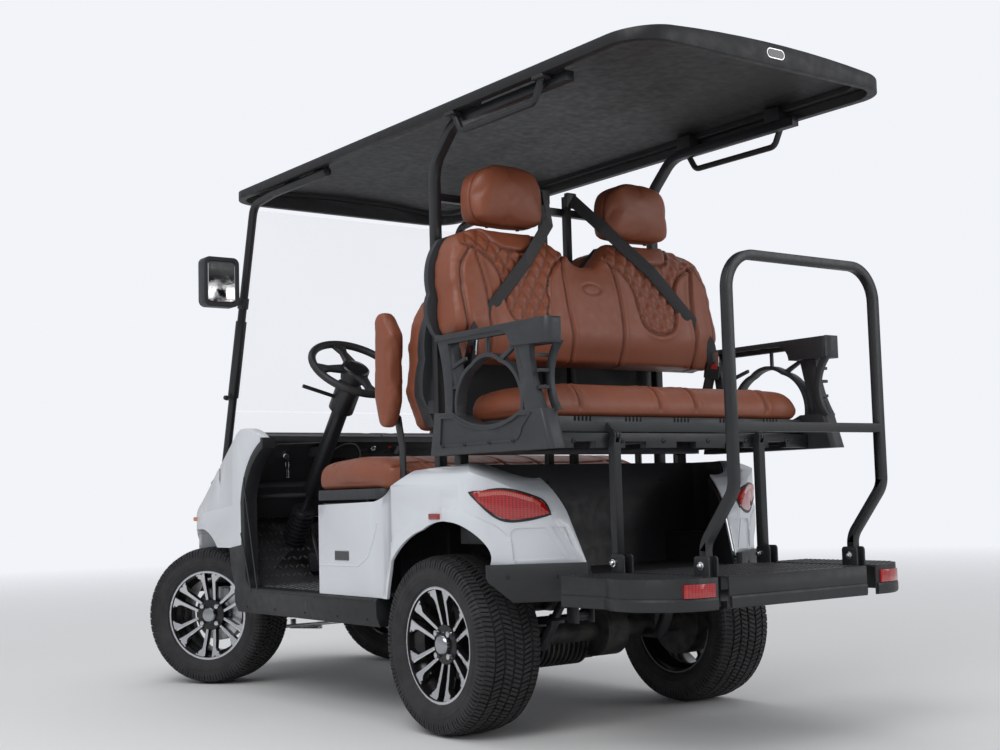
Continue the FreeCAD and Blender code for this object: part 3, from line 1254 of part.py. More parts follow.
def rear_armrests():
    """Moulded arms: scooped base, arched truss, curved front leg, flared rear legs with rungs, and top."""
    inner, outer = REAR_ARM_X
    front_leg = prism([(655, 930), (652, 1051, 622, 1162), (656, 1162), (684, 1051, 690, 930)],
                      "x", inner, outer - 18)
    outer_leg = prism([(1057, 925), (1028, 1052, 1012, 1110), (1064, 1110), (1078, 1013, 1118, 925)],
                      "x", outer - 22, outer - 2)
    inner_leg = prism([(1108, 925), (1084, 1010, 1118, 1110), (1148, 1110), (1103, 1010, 1134, 925)],
                      "x", inner, inner + 14)
    rungs = [block((inner + 8, outer - 10), (1086, 1100), (z, z + 9)) for z in (983, 1029, 1070)]
    return both(fuse([arm_base(), arm_truss(), arm_top(), front_leg, outer_leg, inner_leg] + rungs))


# Footrest and grab bar

def footrest_frame():
    """Two tubes back from the frame under the footrest, a cross tube and the upright brackets."""
    low = STEP_Z[0] + 6
    parts = []
    for x in (-STRUT_X, STRUT_X):
        parts.append(block((x - 13, x + 13), (RAIL_REAR + 0.3, 1440), (low, low + 30)))
        for y in (STRUT_Y + 16, GRAB_FOOT_Y):
            for offset in (-18.7, 13):
                parts.append(block((x + offset, x + offset + 5.7), (y - 26, y + 26), (low, 530), 10, "x"))
    parts.append(block((-430, 430), (1300, 1330), (low, low + 30)))
    parts.append(block((-305, 305), (RAIL_REAR + 0.3, RAIL_REAR + 24), (low, low + 30)))
    return fuse(parts)


def step_plan(inset):
    """Plan of the footrest, drawn inwards by an inset."""
    i = inset
    front, rear = STEP_Y
    right = [(STEP_HALF - i, front + i), (STEP_HALF - 12 - i, front + 170),
             (STEP_REAR_HALF - i * 0.7, rear - 24 - i * 0.7, STEP_REAR_HALF - 70, rear - i)]
    return right + reversed_plan(right)


def footrest_covers():
    """Three moulded covers with open undersides, split where the uprights pass."""
    low, high = STEP_Z
    front, rear = STEP_Y

    shell = prism(step_plan(0), "z", low, high).cut(prism(step_plan(5), "z", low - 5, high - 5))
    gap = STEP_GAP / 2
    slots = [block((side * STRUT_X - gap, side * STRUT_X + gap), (front - 5, rear + 5),
                   (low - 5, high + 5))
             for side in (-1, 1)]
    feet = [block((x - 15, x + 15), (1300, 1330), (low + 36.3, high - 3)) for x in (-380, -150, 150, 380)]
    notch = block((-340, 340), (front - 5, RAIL_REAR + 28), (low - 5, low + 40))
    return fuse([cut(shell, slots + [notch])] + feet).Solids


def side_lamps():
    """Red lamps on the arch flares and reflectors on the footrest's rear edge."""
    marker = block((WING_X + 4.2, WING_X + 11), (590, 640), (636, 653), 3, "x")
    low, high = STEP_Z[0] + 34, STEP_Z[1] - 14
    skin = prism(step_plan(-7), "z", low, high).cut(prism(step_plan(-0.2), "z", low - 1, high + 1))
    reflector = skin.common(block((STRUT_X + 36, STRUT_X + 128), (1300, 1600), (low, high)))
    return both(marker) + both(reflector)


def grab_bar():
    """Square tube loop that stands behind the footrest, with a lower rail."""
    x, y, half = STRUT_X, GRAB_Y, GRAB_W / 2
    top = GRAB_TOP - half
    foot = STEP_Z[0] + 36.3
    path = [(x, GRAB_FOOT_Y, foot), (x, GRAB_FOOT_Y, 560), (x, y, 700), (x, y, top), (-x, y, top),
            (-x, y, 700), (-x, GRAB_FOOT_Y, 560), (-x, GRAB_FOOT_Y, foot)]
    loop = flat_bar(path, (70, 70, GRAB_BEND, GRAB_BEND, 70, 70), GRAB_W, GRAB_W, (1, 0, 0))
    rail = block((-x, x), (y - half, y + half), (GRAB_RAIL - GRAB_W, GRAB_RAIL))
    return fuse([loop, rail])


NODES = {}


def save(name, shape):
    """Keep a node's solids under its name, moved so that the origin lies in the middle."""
    solids = shape if isinstance(shape, list) else [shape]
    NODES[name] = [moved(solid, 0, SHIFT_Y, 0) for solid in solids]


for end, bore in (("front", STUB_R + BORE_GAP), ("rear", AXLE_R + BORE_GAP)):
    wheel_tyre, wheel_rim = tyre(), rim(bore)
    for side_name, side in (("left", 1), ("right", -1)):
        save(f"tyre_{end}_{side_name}", wheel_place(wheel_tyre, side, end == "front"))
        save(f"rim_{end}_{side_name}", wheel_place(wheel_rim, side, end == "front"))
for side_name, side in (("left", 1), ("right", -1)):
    save(f"knuckle_{side_name}", knuckle(side))
    save(f"front_armrest_{side_name}", front_armrest(side))

for piece in (
    pitman_arm, centre_link, front_suspension, steering_column, steering_wheel, rear_axle,
    rear_suspension,
    frame, floor_pan, floor_mat, door_surrounds, battery_pack, pedals, front_cowl, headlamps,
    front_bumper,
    dash, rear_wings, tail_lamps, bag_well, corner_bumpers, side_lamps, seat_box, rear_posts,
    screen_posts,
    windscreen, mirrors, roof, assist_handles, rear_back_pad, front_back_pad, back_shells, head_rests,
    front_seat_base, front_seat_cushion, rear_seat_deck, rear_seat_cushion, rear_seat_frame,
    rear_armrests,
    footrest_frame, footrest_covers, grab_bar, seat_belts,
):
    save(piece.__name__, piece())

os.makedirs("parts", exist_ok=True)
for name, solids in NODES.items():
    shape = solids[0] if len(solids) == 1 else Part.makeCompound(solids)
    shape.exportStep(f"parts/{name}.step")
    print(name, len(shape.Solids), round(shape.Volume / 1e6, 2), shape.isValid())
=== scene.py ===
import json
import math

import bmesh
import bpy
import numpy as np
from mathutils import Matrix, Vector
from mathutils.bvhtree import BVHTree


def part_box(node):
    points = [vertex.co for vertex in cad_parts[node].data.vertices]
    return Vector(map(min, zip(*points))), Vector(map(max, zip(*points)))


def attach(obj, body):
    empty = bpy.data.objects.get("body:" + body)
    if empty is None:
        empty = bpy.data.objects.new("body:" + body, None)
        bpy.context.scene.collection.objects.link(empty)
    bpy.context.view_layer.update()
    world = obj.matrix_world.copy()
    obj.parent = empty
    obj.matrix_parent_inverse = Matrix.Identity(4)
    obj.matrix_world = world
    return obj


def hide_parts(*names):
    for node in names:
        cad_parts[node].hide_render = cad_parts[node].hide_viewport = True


# Golf cart with two forward and two rearward seats, dressed for rendering.
# Metres. +Z up, the front faces -Y, +X is the driver's side.

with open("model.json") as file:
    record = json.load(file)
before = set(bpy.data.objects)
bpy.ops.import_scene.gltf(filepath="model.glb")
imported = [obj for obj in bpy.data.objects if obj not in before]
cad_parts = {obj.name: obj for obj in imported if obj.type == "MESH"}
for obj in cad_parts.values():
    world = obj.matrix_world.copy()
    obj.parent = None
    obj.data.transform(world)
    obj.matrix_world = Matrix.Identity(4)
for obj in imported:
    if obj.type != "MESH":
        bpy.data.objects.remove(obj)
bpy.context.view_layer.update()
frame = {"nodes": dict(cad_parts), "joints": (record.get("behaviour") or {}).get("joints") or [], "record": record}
nodes = frame["nodes"]

SLOT_OF = {part["node"]: part["material_slot"] for part in frame["record"]["subparts"]}
BODIES = frame["record"]["behaviour"]["bodies"]
BODY_OF = {node: body for body, members in BODIES.items() for node in members}
JOINTS = {joint["name"]: joint for joint in frame["joints"]}
SPINS = [joint for name, joint in JOINTS.items() if name.endswith("_spin")]
WHEELS = {joint["child"].replace("wheel_", ""): joint for joint in SPINS}
SIDES = (("left", 1), ("right", -1))

# Colours, as linear red, green and blue

WHITE_PAINT = (0.74, 0.77, 0.81)
TAN = (0.27, 0.080, 0.040)
# Painted shade for the tan leather's seams and creases
TAN_SEAM_SHADE = (0.10, 0.028, 0.014)
THREAD = (0.36, 0.13, 0.075)
BLACK_VINYL = (0.020, 0.021, 0.024)
COAT_BLACK = (0.014, 0.015, 0.017)
MOULD_BLACK = (0.017, 0.018, 0.020)
MOULD_GREY = (0.031, 0.034, 0.038)
RUBBER = (0.017, 0.017, 0.018)
STEEL = (0.55, 0.56, 0.57)
RED_LENS = (0.55, 0.008, 0.010)
IRON = ((0.03, 0.031, 0.034), (0.085, 0.08, 0.074))
POCKET_BLACK = (0.010, 0.010, 0.011)
CUT_ALLOY = (0.62, 0.63, 0.65)
CAP_GREY = (0.38, 0.39, 0.41)


# Materials

# Spans of a noise texture's values, wide and narrow
NOISE_SPAN = (0.3, 0.7)
MOTTLE_SPAN = (0.35, 0.65)


def add_node(tree, kind, values=None, **settings):
    """New shader node with its settings, and each input a number or a link."""
    made = tree.nodes.new("ShaderNode" + kind)
    for key, value in settings.items():
        setattr(made, key, value)
    for key, value in (values or {}).items():
        if isinstance(value, bpy.types.NodeSocket):
            tree.links.new(value, made.inputs[key])
        else:
            made.inputs[key].default_value = value
    return made


class Shader:
    """Node tree round one Principled shader, with short calls for the nodes used here."""

    def __init__(self, name, colour, roughness, more=None):
        self.material = bpy.data.materials.new(name)
        self.material.use_nodes = True
        self.tree = self.material.node_tree
        self.shader = self.tree.nodes["Principled BSDF"]
        sockets = {"Base Color": (*colour, 1.0), "Roughness": roughness, **(more or {})}
        for socket, value in sockets.items():
            self.shader.inputs[socket].default_value = value
        coordinate = self.add("TexCoord").outputs
        self.place = coordinate["Object"]
        self.normal = coordinate["Normal"]
        self.bumps = None

    def add(self, kind, values=None, **settings):
        return add_node(self.tree, kind, values, **settings)

    def link(self, socket, name):
        self.tree.links.new(socket, self.shader.inputs[name])

    def maths(self, operation, first, second=0.0):
        return self.add("Math", {0: first, 1: second}, operation=operation).outputs[0]

    def vector(self, operation, *values):
        made = self.add("VectorMath", dict(enumerate(values)), operation=operation)
        return made.outputs["Vector" if operation == "SUBTRACT" else "Value"]

    def noise(self, scale, detail=2.0, place=None):
        values = {"Vector": place or self.place, "Scale": scale, "Detail": detail}
        return self.add("TexNoise", values).outputs["Fac"]

    def cells(self, scale):
        return self.add("TexVoronoi", {"Vector": self.place, "Scale": scale}).outputs["Distance"]

    def wave(self, scale, direction):
        values = {"Vector": self.place, "Scale": scale}
        return self.add("TexWave", values, bands_direction=direction).outputs["Fac"]

    def ramp(self, value, low, high, start, end):
        values = {"Value": value, "From Min": low, "From Max": high, "To Min": start, "To Max": end}
        return self.add("MapRange", values).outputs["Result"]

    def mix(self, share, first, second):
        first, second = ((*value, 1.0) if isinstance(value, tuple) else value for value in (first, second))
        return self.add("Mix", {"Factor": share, 6: first, 7: second}, data_type="RGBA").outputs[2]

    def bump(self, height, distance, strength=1.0):
        values = {"Height": height, "Distance": distance, "Strength": strength}
        if self.bumps:
            values["Normal"] = self.bumps
        self.bumps = self.add("Bump", values).outputs["Normal"]
        self.link(self.bumps, "Normal")

    def mottle(self, first, second, scale):
        """Base colour that drifts between two tones."""
        tone = self.ramp(self.noise(scale, 4.0), *MOTTLE_SPAN, 0.0, 1.0)
        self.link(self.mix(tone, first, second), "Base Color")

    def rough(self, scale, low, high):
        self.link(self.ramp(self.noise(scale, 3.0), *NOISE_SPAN, low, high), "Roughness")


def darker(colour, share):
    return tuple(value * share for value in colour)


def paint(name, colour):
    made = Shader(name, colour, 0.28, {"Coat Weight": 0.9, "Coat Roughness": 0.04})
    made.mottle(colour, darker(colour, 0.96), 3.0)
    made.bump(made.noise(220.0, 1.0), 0.00004, 0.3)
    return made.material


def moulded(name, colour, roughness, grain=900.0):
    """Grained plastic: fine cells, with a slightly worn tone that drifts paler and darker."""
    made = Shader(name, colour, roughness)
    made.mottle(darker(colour, 0.94), darker(colour, 1.08), 6.0)
    made.rough(35.0, roughness - 0.06, roughness + 0.08)
    made.bump(made.cells(grain), 0.00012, 0.5)
    return made.material


def coated(name, colour, roughness, tone, drift, wear, grain, depth):
    """Coat or rubber of two tones, with uneven gloss and a fine peel or grain."""
    made = Shader(name, colour, roughness)
    made.mottle(colour, darker(colour, tone), drift)
    scale, less, more = wear
    made.rough(scale, roughness - less, roughness + more)
    made.bump(made.noise(*grain), depth, 0.5)
    return made.material


def leather(name, colour, shade):
    """Upholstery with fine grain, with painted shade in the sewn seams and creases that the mesh marks."""
    made = Shader(name, colour, 0.42, {"Specular IOR Level": 0.45})
    tone = made.ramp(made.noise(5.0, 5.0), *NOISE_SPAN, 0.0, 1.0)
    body = made.mix(tone, colour, darker(colour, 0.86))
    # Painted shade: the grooves of seams and tufting are darkened by the attribute the mesh carries.
    seam = made.add("Attribute", attribute_name="seam").outputs["Fac"]
    made.link(made.mix(seam, body, shade), "Base Color")
    made.rough(40.0, 0.36, 0.50)
    made.bump(made.cells(620.0), 0.00022, 0.45)
    made.bump(made.noise(95.0, 4.0), 0.0005, 0.35)
    return made.material


def rubber(name, colour, roughness):
    return coated(name, colour, roughness, 1.7, 14.0, (30.0, 0.08, 0.1), (420.0, 3.0), 0.0002)


def steel(name, colour, roughness):
    """Metal with a faint brushed grain."""
    made = Shader(name, colour, roughness, {"Metallic": 1.0})
    stretched = made.add("Mapping", {"Vector": made.place, "Scale": (12.0, 400.0, 400.0)}).outputs["Vector"]
    made.bump(made.noise(3.0, 2.0, stretched), 0.00003, 0.5)
    made.rough(25.0, roughness - 0.05, roughness + 0.08)
    return made.material


def cast_iron(name):
    made = Shader(name, IRON[0], 0.6, {"Metallic": 0.5})
    made.mottle(*IRON, 22.0)
    made.bump(made.noise(260.0, 5.0), 0.0006, 0.6)
    return made.material


def woven(name, colour):
    """Belt webbing: ribs across and along a fine weave."""
    made = Shader(name, colour, 0.62, {"Sheen Weight": 0.25})
    weave = made.maths("MAXIMUM", made.wave(220.0, "X"), made.wave(180.0, "Z"))
    made.link(made.mix(weave, darker(colour, 0.6), darker(colour, 1.5)), "Base Color")
    made.bump(weave, 0.0004, 0.8)
    return made.material


def clear(name, colour, alpha):
    """Thin clear sheet, tinted a little, with a faint film of dust."""
    made = Shader(name, colour, 0.03, {"Alpha": alpha, "Specular IOR Level": 0.6})
    made.rough(4.0, 0.02, 0.07)
    return made.material


def lens(name, colour, ribs):
    """Coloured lamp lens over a ribbed reflector."""
    made = Shader(name, colour, 0.12, {"Coat Weight": 1.0, "Emission Strength": 0.25})
    cell = made.maths("MULTIPLY", made.wave(ribs, "Z"), made.wave(ribs * 0.6, "X"))
    shade = made.mix(cell, darker(colour, 0.35), colour)
    made.link(shade, "Base Color")
    made.link(shade, "Emission Color")
    made.bump(cell, 0.0004, 0.5)
    return made.material


# Limits on the wheel's face: hub, spokes, lugs and cap
HUB_FACE_R = 0.060
SPOKE_FACE_X = 0.050
LUG_X = 0.0625
CAP_R = 0.0305
FACES_OUT = 0.93


def wheel_alloy(name, centre, axis):
    """Alloy wheel: turned faces on the spokes, lip and lugs, gloss black in the recesses."""
    made = Shader(name, (0.5, 0.5, 0.5), 0.3)
    maths = made.maths
    offset = made.vector("SUBTRACT", made.place, centre)
    along = made.vector("DOT_PRODUCT", offset, axis)
    reach = made.vector("LENGTH", offset)
    square = maths("SUBTRACT", maths("MULTIPLY", reach, reach), maths("MULTIPLY", along, along))
    radius = maths("SQRT", square)
    outward = maths("GREATER_THAN", made.vector("DOT_PRODUCT", made.normal, axis), FACES_OUT)
    spoke = maths("MULTIPLY", outward, maths("GREATER_THAN", radius, HUB_FACE_R))
    spoke = maths("MULTIPLY", spoke, maths("GREATER_THAN", along, SPOKE_FACE_X))
    cap = maths("LESS_THAN", radius, CAP_R)
    lug = maths("MULTIPLY", maths("GREATER_THAN", along, LUG_X), maths("LESS_THAN", radius, HUB_FACE_R))
    bright = maths("MAXIMUM", spoke, lug)
    grey = made.mix(cap, CUT_ALLOY, CAP_GREY)
    made.link(made.mix(bright, POCKET_BLACK, grey), "Base Color")
    made.link(made.ramp(bright, 0.0, 1.0, 0.22, 0.20), "Roughness")
    made.link(made.ramp(bright, 0.0, 1.0, 0.0, 1.0), "Metallic")
    made.bump(made.noise(500.0, 1.0), 0.00003, 0.4)
    return made.material


MATERIALS = {
    "tyre": rubber("tyre_rubber", RUBBER, 0.72),
    "dark_steel": coated("powder_coat", COAT_BLACK, 0.36, 1.35, 9.0, (60.0, 0.05, 0.07), (700.0, 2.0), 8e-5),
    "white_body": paint("white_paint", WHITE_PAINT),
    "black_trim": moulded("black_mould", MOULD_BLACK, 0.46),
    "grey_shell": moulded("grey_mould", MOULD_GREY, 0.44),
    # The second colour of each leather is painted shade for its seams and creases.
    "tan_leather": leather("tan_upholstery", TAN, TAN_SEAM_SHADE),
    "black_leather": leather("black_upholstery", BLACK_VINYL, darker(BLACK_VINYL, 0.5)),
    "clear": clear("windscreen_sheet", (0.9, 0.94, 0.95), 0.05),
    "lamp_clear": clear("lamp_clear_lens", (0.85, 0.88, 0.9), 0.55),
    "lamp_red": lens("lamp_red_lens", RED_LENS, 60.0),
    "webbing": woven("belt_webbing", (0.012, 0.012, 0.014)),
    "mat": rubber("floor_rubber", (0.020, 0.020, 0.022), 0.55),
    "grip": rubber("soft_grip", (0.016, 0.016, 0.018), 0.5),
    "bare_steel": steel("plated_steel", STEEL, 0.3),
    "axle_iron": cast_iron("axle_casting"),
}
OWN_FINISH = {
    "roof": moulded("roof_mould", (0.008, 0.0085, 0.010), 0.5, 500.0),
    "dash": moulded("dash_mould", (0.016, 0.017, 0.019), 0.5),
    "rear_wings": MATERIALS["white_body"],
}
for wheel, joint in WHEELS.items():
    outward = Vector(joint["axis"]) * (1 if "left" in wheel else -1)
    OWN_FINISH["rim_" + wheel] = wheel_alloy("alloy_" + wheel, Vector(joint["pos_m"]), outward)

# Finishes of the added pieces: material and slot

GLOSS_BLACK = paint("gloss_black", (0.012, 0.012, 0.014))
SWITCH_RED = moulded("switch_red", (0.5, 0.02, 0.02), 0.35)
TRIM = (MATERIALS["black_trim"], "black_trim")
GLOSS = (GLOSS_BLACK, "black_trim")
GREY = (moulded("trim_grey", (0.16, 0.17, 0.18), 0.4), "grey_shell")
WHITE = (MATERIALS["white_body"], "white_body")
BRIGHT = (steel("chrome", (0.80, 0.81, 0.82), 0.12), "bare_steel")
MIRROR = (steel("mirror_glass", (0.9, 0.91, 0.92), 0.02), "bare_steel")
AMBER = (lens("amber_lens", (0.75, 0.20, 0.01), 80.0), "lamp_red")
LAMP_GLOW = (lens("lamp_upper_band", (0.80, 0.16, 0.13), 120.0), "lamp_red")
# Rubber of the mat's lozenges, paler than the mat as a painted glint on them.
TREAD_PAINTED_GLINT = (rubber("tread_rubber", (0.040, 0.041, 0.043), 0.38), "mat")
STITCH = (leather("seat_thread", THREAD, THREAD), "tan_leather")


# Mesh helpers

MERGE = 1e-5


def new_object(name, data):
    made = bpy.data.objects.new(name, data)
    bpy.context.scene.collection.objects.link(made)
    return made


def dress(made, material, smooth=True):
    """One material and one shading for a whole mesh."""
    made.data.materials.clear()
    made.data.materials.append(material)
    for face in made.data.polygons:
        face.use_smooth = smooth


def vectors(items, field):
    """A vector of each of a mesh's points, one to a row."""
    out = np.zeros(len(items) * 3, np.float32)
    items.foreach_get(field, out)
    return out.reshape(-1, 3).astype(float)


def coordinates(made):
    return vectors(made.data.vertices, "co")


def move_to(made, co):
    made.data.vertices.foreach_set("co", co.astype(np.float32).ravel())
    made.data.update()


def modify(made, kind, **settings):
    modifier = made.modifiers.new(kind.lower(), kind)
    for key, value in settings.items():
        setattr(modifier, key, value)
    return modifier


def piece(name, verts, faces, finish, body="chassis", smooth=False):
    """New mesh piece that rides on a body."""
    material, slot = finish
    mesh = bpy.data.meshes.new(name)
    mesh.from_pydata([tuple(vert) for vert in verts], [], faces)
    made = new_object(name, mesh)
    dress(made, material, smooth)
    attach(made, body)
    return made


def skin(first, rings, sides, closed=False, floor=True):
    """Faces between rings of points, counted from the first point. Open ends are capped."""
    faces = []
    for ring in range(rings if closed else rings - 1):
        here, there = first + ring * sides, first + (ring + 1) % rings * sides
        for side in range(sides):
            after = (side + 1) % sides
            faces.append((here + side, here + after, there + after, there + side))
    if not closed:
        last = first + (rings - 1) * sides
        faces.append(tuple(range(last, last + sides)))
    if floor and not closed:
        faces.append(tuple(reversed(range(first, first + sides))))
    return faces


def angles(count):
    """Angles of points evenly round a circle."""
    return [2 * math.pi * step / count for step in range(count)]


def tube(name, points, radius, finish, sides=16):
    """Round bar along points, closed at both ends."""
    points = [Vector(point) for point in points]
    verts = []
    across = None
    for index, point in enumerate(points):
        before = points[max(index - 1, 0)]
        after = points[min(index + 1, len(points) - 1)]
        ahead = (after - before).normalized()
        if across is None:
            across = ahead.orthogonal().normalized()
        across = (across - ahead * across.dot(ahead)).normalized()
        up = ahead.cross(across)
        for angle in angles(sides):
            verts.append(point + (across * math.cos(angle) + up * math.sin(angle)) * radius)
    return piece(name, verts, skin(0, len(points), sides), finish, smooth=True)


def ribbon(name, track, width, height, finish, closed=False):
    """Raised strip with drawn-in edges along surface points, each with its normal."""
    section = ((-0.5, -0.4), (-0.5, 0.6), (-0.3, 1.0), (0.3, 1.0), (0.5, 0.6), (0.5, -0.4))
    verts = []
    count = len(track)
    for index, (point, normal) in enumerate(track):
        before = track[index - 1][0] if closed or index else point
        after = track[(index + 1) % count][0] if closed or index < count - 1 else point
        across = (after - before).cross(normal).normalized()
        verts += [point + across * share * width + normal * rise * height for share, rise in section]
    return piece(name, verts, skin(0, count, len(section), closed), finish)


def turned(name, places, profile, finish, body="chassis", sides=20):
    """Turned heads at places, each a point and the direction it faces. The profile is radius and height."""
    verts, faces = [], []
    for point, direction in places:
        turn = Vector((0, 0, 1)).rotation_difference(Vector(direction)).to_matrix()
        faces += skin(len(verts), len(profile), sides)
        for radius, height in profile:
            spots = [(radius * math.cos(angle), radius * math.sin(angle), height) for angle in angles(sides)]
            verts += [point + turn @ Vector(spot) for spot in spots]
    return piece(name, verts, faces, finish, body)


def rounded(half_a, half_b, radius, steps=6):
    """Outline of a rectangle with round corners."""
    outline = []
    for quarter, (a, b) in enumerate(((1, 1), (-1, 1), (-1, -1), (1, -1))):
        for step in range(steps + 1):
            angle = math.pi / 2 * (quarter + step / steps)
            outline.append((a * (half_a - radius) + radius * math.cos(angle),
                            b * (half_b - radius) + radius * math.sin(angle)))
    return outline


def plate(name, size, point, along, normal, height, finish):
    """Flat plate with round corners and drawn-in edges on a surface."""
    along, normal = Vector(along).normalized(), Vector(normal).normalized()
    up = normal.cross(along)
    outline = rounded(*size)
    verts = []
    for rise, share in ((-0.3, 1.0), (0.7, 1.0), (1.0, 0.96)):
        verts += [point + along * a * share + up * b * share + normal * rise * height for a, b in outline]
    return piece(name, verts, skin(0, 3, len(outline)), finish)


def lozenges(name, spots, length, width, height, finish):
    """Raised lozenges, each at a point with its long direction and normal."""
    base = ((-0.5, 0.0), (-0.22, -0.5), (0.22, -0.5), (0.5, 0.0), (0.22, 0.5), (-0.22, 0.5))
    verts, faces = [], []
    for point, along, normal in spots:
        faces += skin(len(verts), 2, len(base), floor=False)
        across = normal.cross(along)
        for rise, share in ((-0.2, 1.0), (1.0, 0.62)):
            verts += [point + (along * a * length + across * b * width) * share + normal * rise * height
                      for a, b in base]
    return piece(name, verts, faces, finish)


def surface(made):
    """Search tree over an object's faces."""
    mesh = made.data
    faces = [face.vertices[:] for face in mesh.polygons]
    return BVHTree.FromPolygons([vert.co for vert in mesh.vertices], faces)


RAY_START = 0.35


def touch(tree, spot, ahead):
    """Where a ray through a spot first meets a surface, with the way out of it there."""
    ahead = Vector(ahead).normalized()
    place, normal, _, _ = tree.ray_cast(Vector(spot) - ahead * RAY_START, ahead, RAY_START * 2)
    if place is None:
        return None
    return place, (-normal if normal.dot(ahead) > 0 else normal)


def trace(node, points, ahead, step=0.012):
    """Surface points and normals met along a broken line that is cast onto a node."""
    tree = surface(nodes[node])
    track = []
    for start, end in zip(points, points[1:]):
        count = max(1, round((end - start).length / step))
        for index in range(count + (end == points[-1])):
            met = touch(tree, start.lerp(end, index / count), ahead)
            if met:
                track.append(met)
    return track


def smooth_line(points, count):
    """Points along a curve through the given ones."""
    points = [np.array(point, float) for point in points]
    padded = [2 * points[0] - points[1]] + points + [2 * points[-1] - points[-2]]
    line = []
    for a, b, c, d in zip(padded, padded[1:], padded[2:], padded[3:]):
        for step in range(count):
            t = step / count
            line.append(0.5 * (2 * b + (c - a) * t + (2 * a - 5 * b + 4 * c - d) * t ** 2
                               + (3 * b - a - 3 * c + d) * t ** 3))
    line.append(points[-1])
    return np.array(line)


def line_distance(spots, line):
    """Distance from each spot to a broken line, both in a plane."""
    best = np.full(len(spots), np.inf)
    for start, end in zip(line, line[1:]):
        run = end - start
        t = np.clip(((spots - start) @ run) / max(run @ run, 1e-12), 0, 1)
        best = np.minimum(best, np.linalg.norm(spots - start - t[:, None] * run, axis=1))
    return best


def inside(spots, outline):
    """Which spots lie within a closed outline."""
    odd = np.zeros(len(spots), bool)
    for (ax, az), (bx, bz) in zip(outline, np.roll(outline, -1, axis=0)):
        if az == bz:
            continue
        crosses = (az > spots[:, 1]) != (bz > spots[:, 1])
        odd ^= crosses & (spots[:, 0] < (bx - ax) * (spots[:, 1] - az) / (bz - az) + ax)
    return odd


# The CAD nodes: a finish each, smooth shading, and soft edges for the light to catch

EDGE_ROUND = 0.0025
SHARP = math.radians(32)

for name, node in nodes.items():
    dress(node, OWN_FINISH.get(name) or MATERIALS[SLOT_OF[name]])
    modify(node, "WELD", merge_threshold=MERGE)
    if not name.startswith(("tyre", "steering_wheel")):
        modify(node, "BEVEL", width=EDGE_ROUND, segments=2, limit_method="ANGLE", angle_limit=SHARP,
               harden_normals=True)


# Pads

CLOTH_STEPS = 20


def apply_modifiers(made):
    graph = bpy.context.evaluated_depsgraph_get()
    mesh = bpy.data.meshes.new_from_object(made.evaluated_get(graph))
    made.modifiers.clear()
    made.data = mesh


def inflate(made, pressure, most):
    """Cloth under pressure, held within a cap on how far a point may move."""
    rest = coordinates(made)
    cloth = modify(made, "CLOTH").settings
    cloth.use_pressure = True
    cloth.uniform_pressure_force = pressure
    cloth.effector_weights.gravity = 0
    scene = bpy.context.scene
    for step in range(1, CLOTH_STEPS + 1):
        scene.frame_set(step)
    apply_modifiers(made)
    scene.frame_set(1)
    shift = coordinates(made) - rest
    size = np.linalg.norm(shift, axis=1, keepdims=True)
    move_to(made, rest + shift * np.minimum(1, most / np.maximum(size, 1e-9)))


def cushion_mesh(node, voxel, most, rounding=14, swell=4.0, keep=None):
    """Rounded and inflated copy of a CAD pad: remeshed, softened, swelled as cloth and capped."""
    mesh = nodes[node].data.copy()
    work = bmesh.new()
    work.from_mesh(mesh)
    bmesh.ops.remove_doubles(work, verts=work.verts, dist=MERGE)
    if keep:
        strays = [vert for vert in work.verts if not keep(vert.co)]
        bmesh.ops.delete(work, geom=strays, context="VERTS")
        bmesh.ops.holes_fill(work, edges=work.edges)
    work.to_mesh(mesh)
    work.free()
    made = new_object("pad_work", mesh)
    modify(made, "REMESH", mode="VOXEL", voxel_size=voxel)
    modify(made, "SMOOTH", iterations=rounding, factor=0.5)
    apply_modifiers(made)
    inflate(made, swell, most)
    return made


def scaled(made, middle, factors):
    """Scales a mesh about a point."""
    place = Matrix.Translation(middle)
    made.data.transform(place @ Matrix.Diagonal((*factors, 1)) @ place.inverted())


def upholster(made, name, node, shape):
    """Subdivides and sculpts a pad, marks painted shade in its seams and creases, and has it stand for its CAD
    node.
    """
    modify(made, "SUBSURF", levels=1, render_levels=1)
    apply_modifiers(made)
    co, normal = coordinates(made), vectors(made.data.vertex_normals, "vector")
    height, seam = shape(co, normal)
    move_to(made, co + normal * height[:, None])
    # Painted shade of the seams and creases, stored on the mesh for the leather.
    mark = made.data.attributes.new("seam", "FLOAT", "POINT")
    mark.data.foreach_set("value", seam.astype(np.float32))
    made.name = name
    dress(made, MATERIALS["tan_leather"])
    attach(made, BODY_OF[node])
    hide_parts(node)


SEAM_W = 0.0045
SEAM_DEPTH = 0.0085
# Widths of the painted shade in seams and grooves
SEAM_SHADE_W = 0.0035
THIN_SHADE_W = 0.003


def bell(distance, width):
    return np.exp(-(distance / width) ** 2)


def groove(distance, width, depth):
    return -depth * bell(distance, width)


def sewn(distances, lip, lip_at, lip_w):
    """Height and painted shade of sewn channels with a raised lip beside them."""
    height = sum(groove(distance, SEAM_W, SEAM_DEPTH) + lip * bell(distance - lip_at, lip_w)
                 for distance in distances)
    return height, np.max([bell(distance, SEAM_SHADE_W) for distance in distances], axis=0)


def edged(distance, share, width, depth):
    """Height and painted shade of a seam round a pad, where its share is above nought."""
    share = np.clip(share, 0, 1)
    return groove(distance, width, depth) * share, bell(distance, THIN_SHADE_W) * share


# Back rests, drawn for the rear one in millimetres: distance from the middle and height

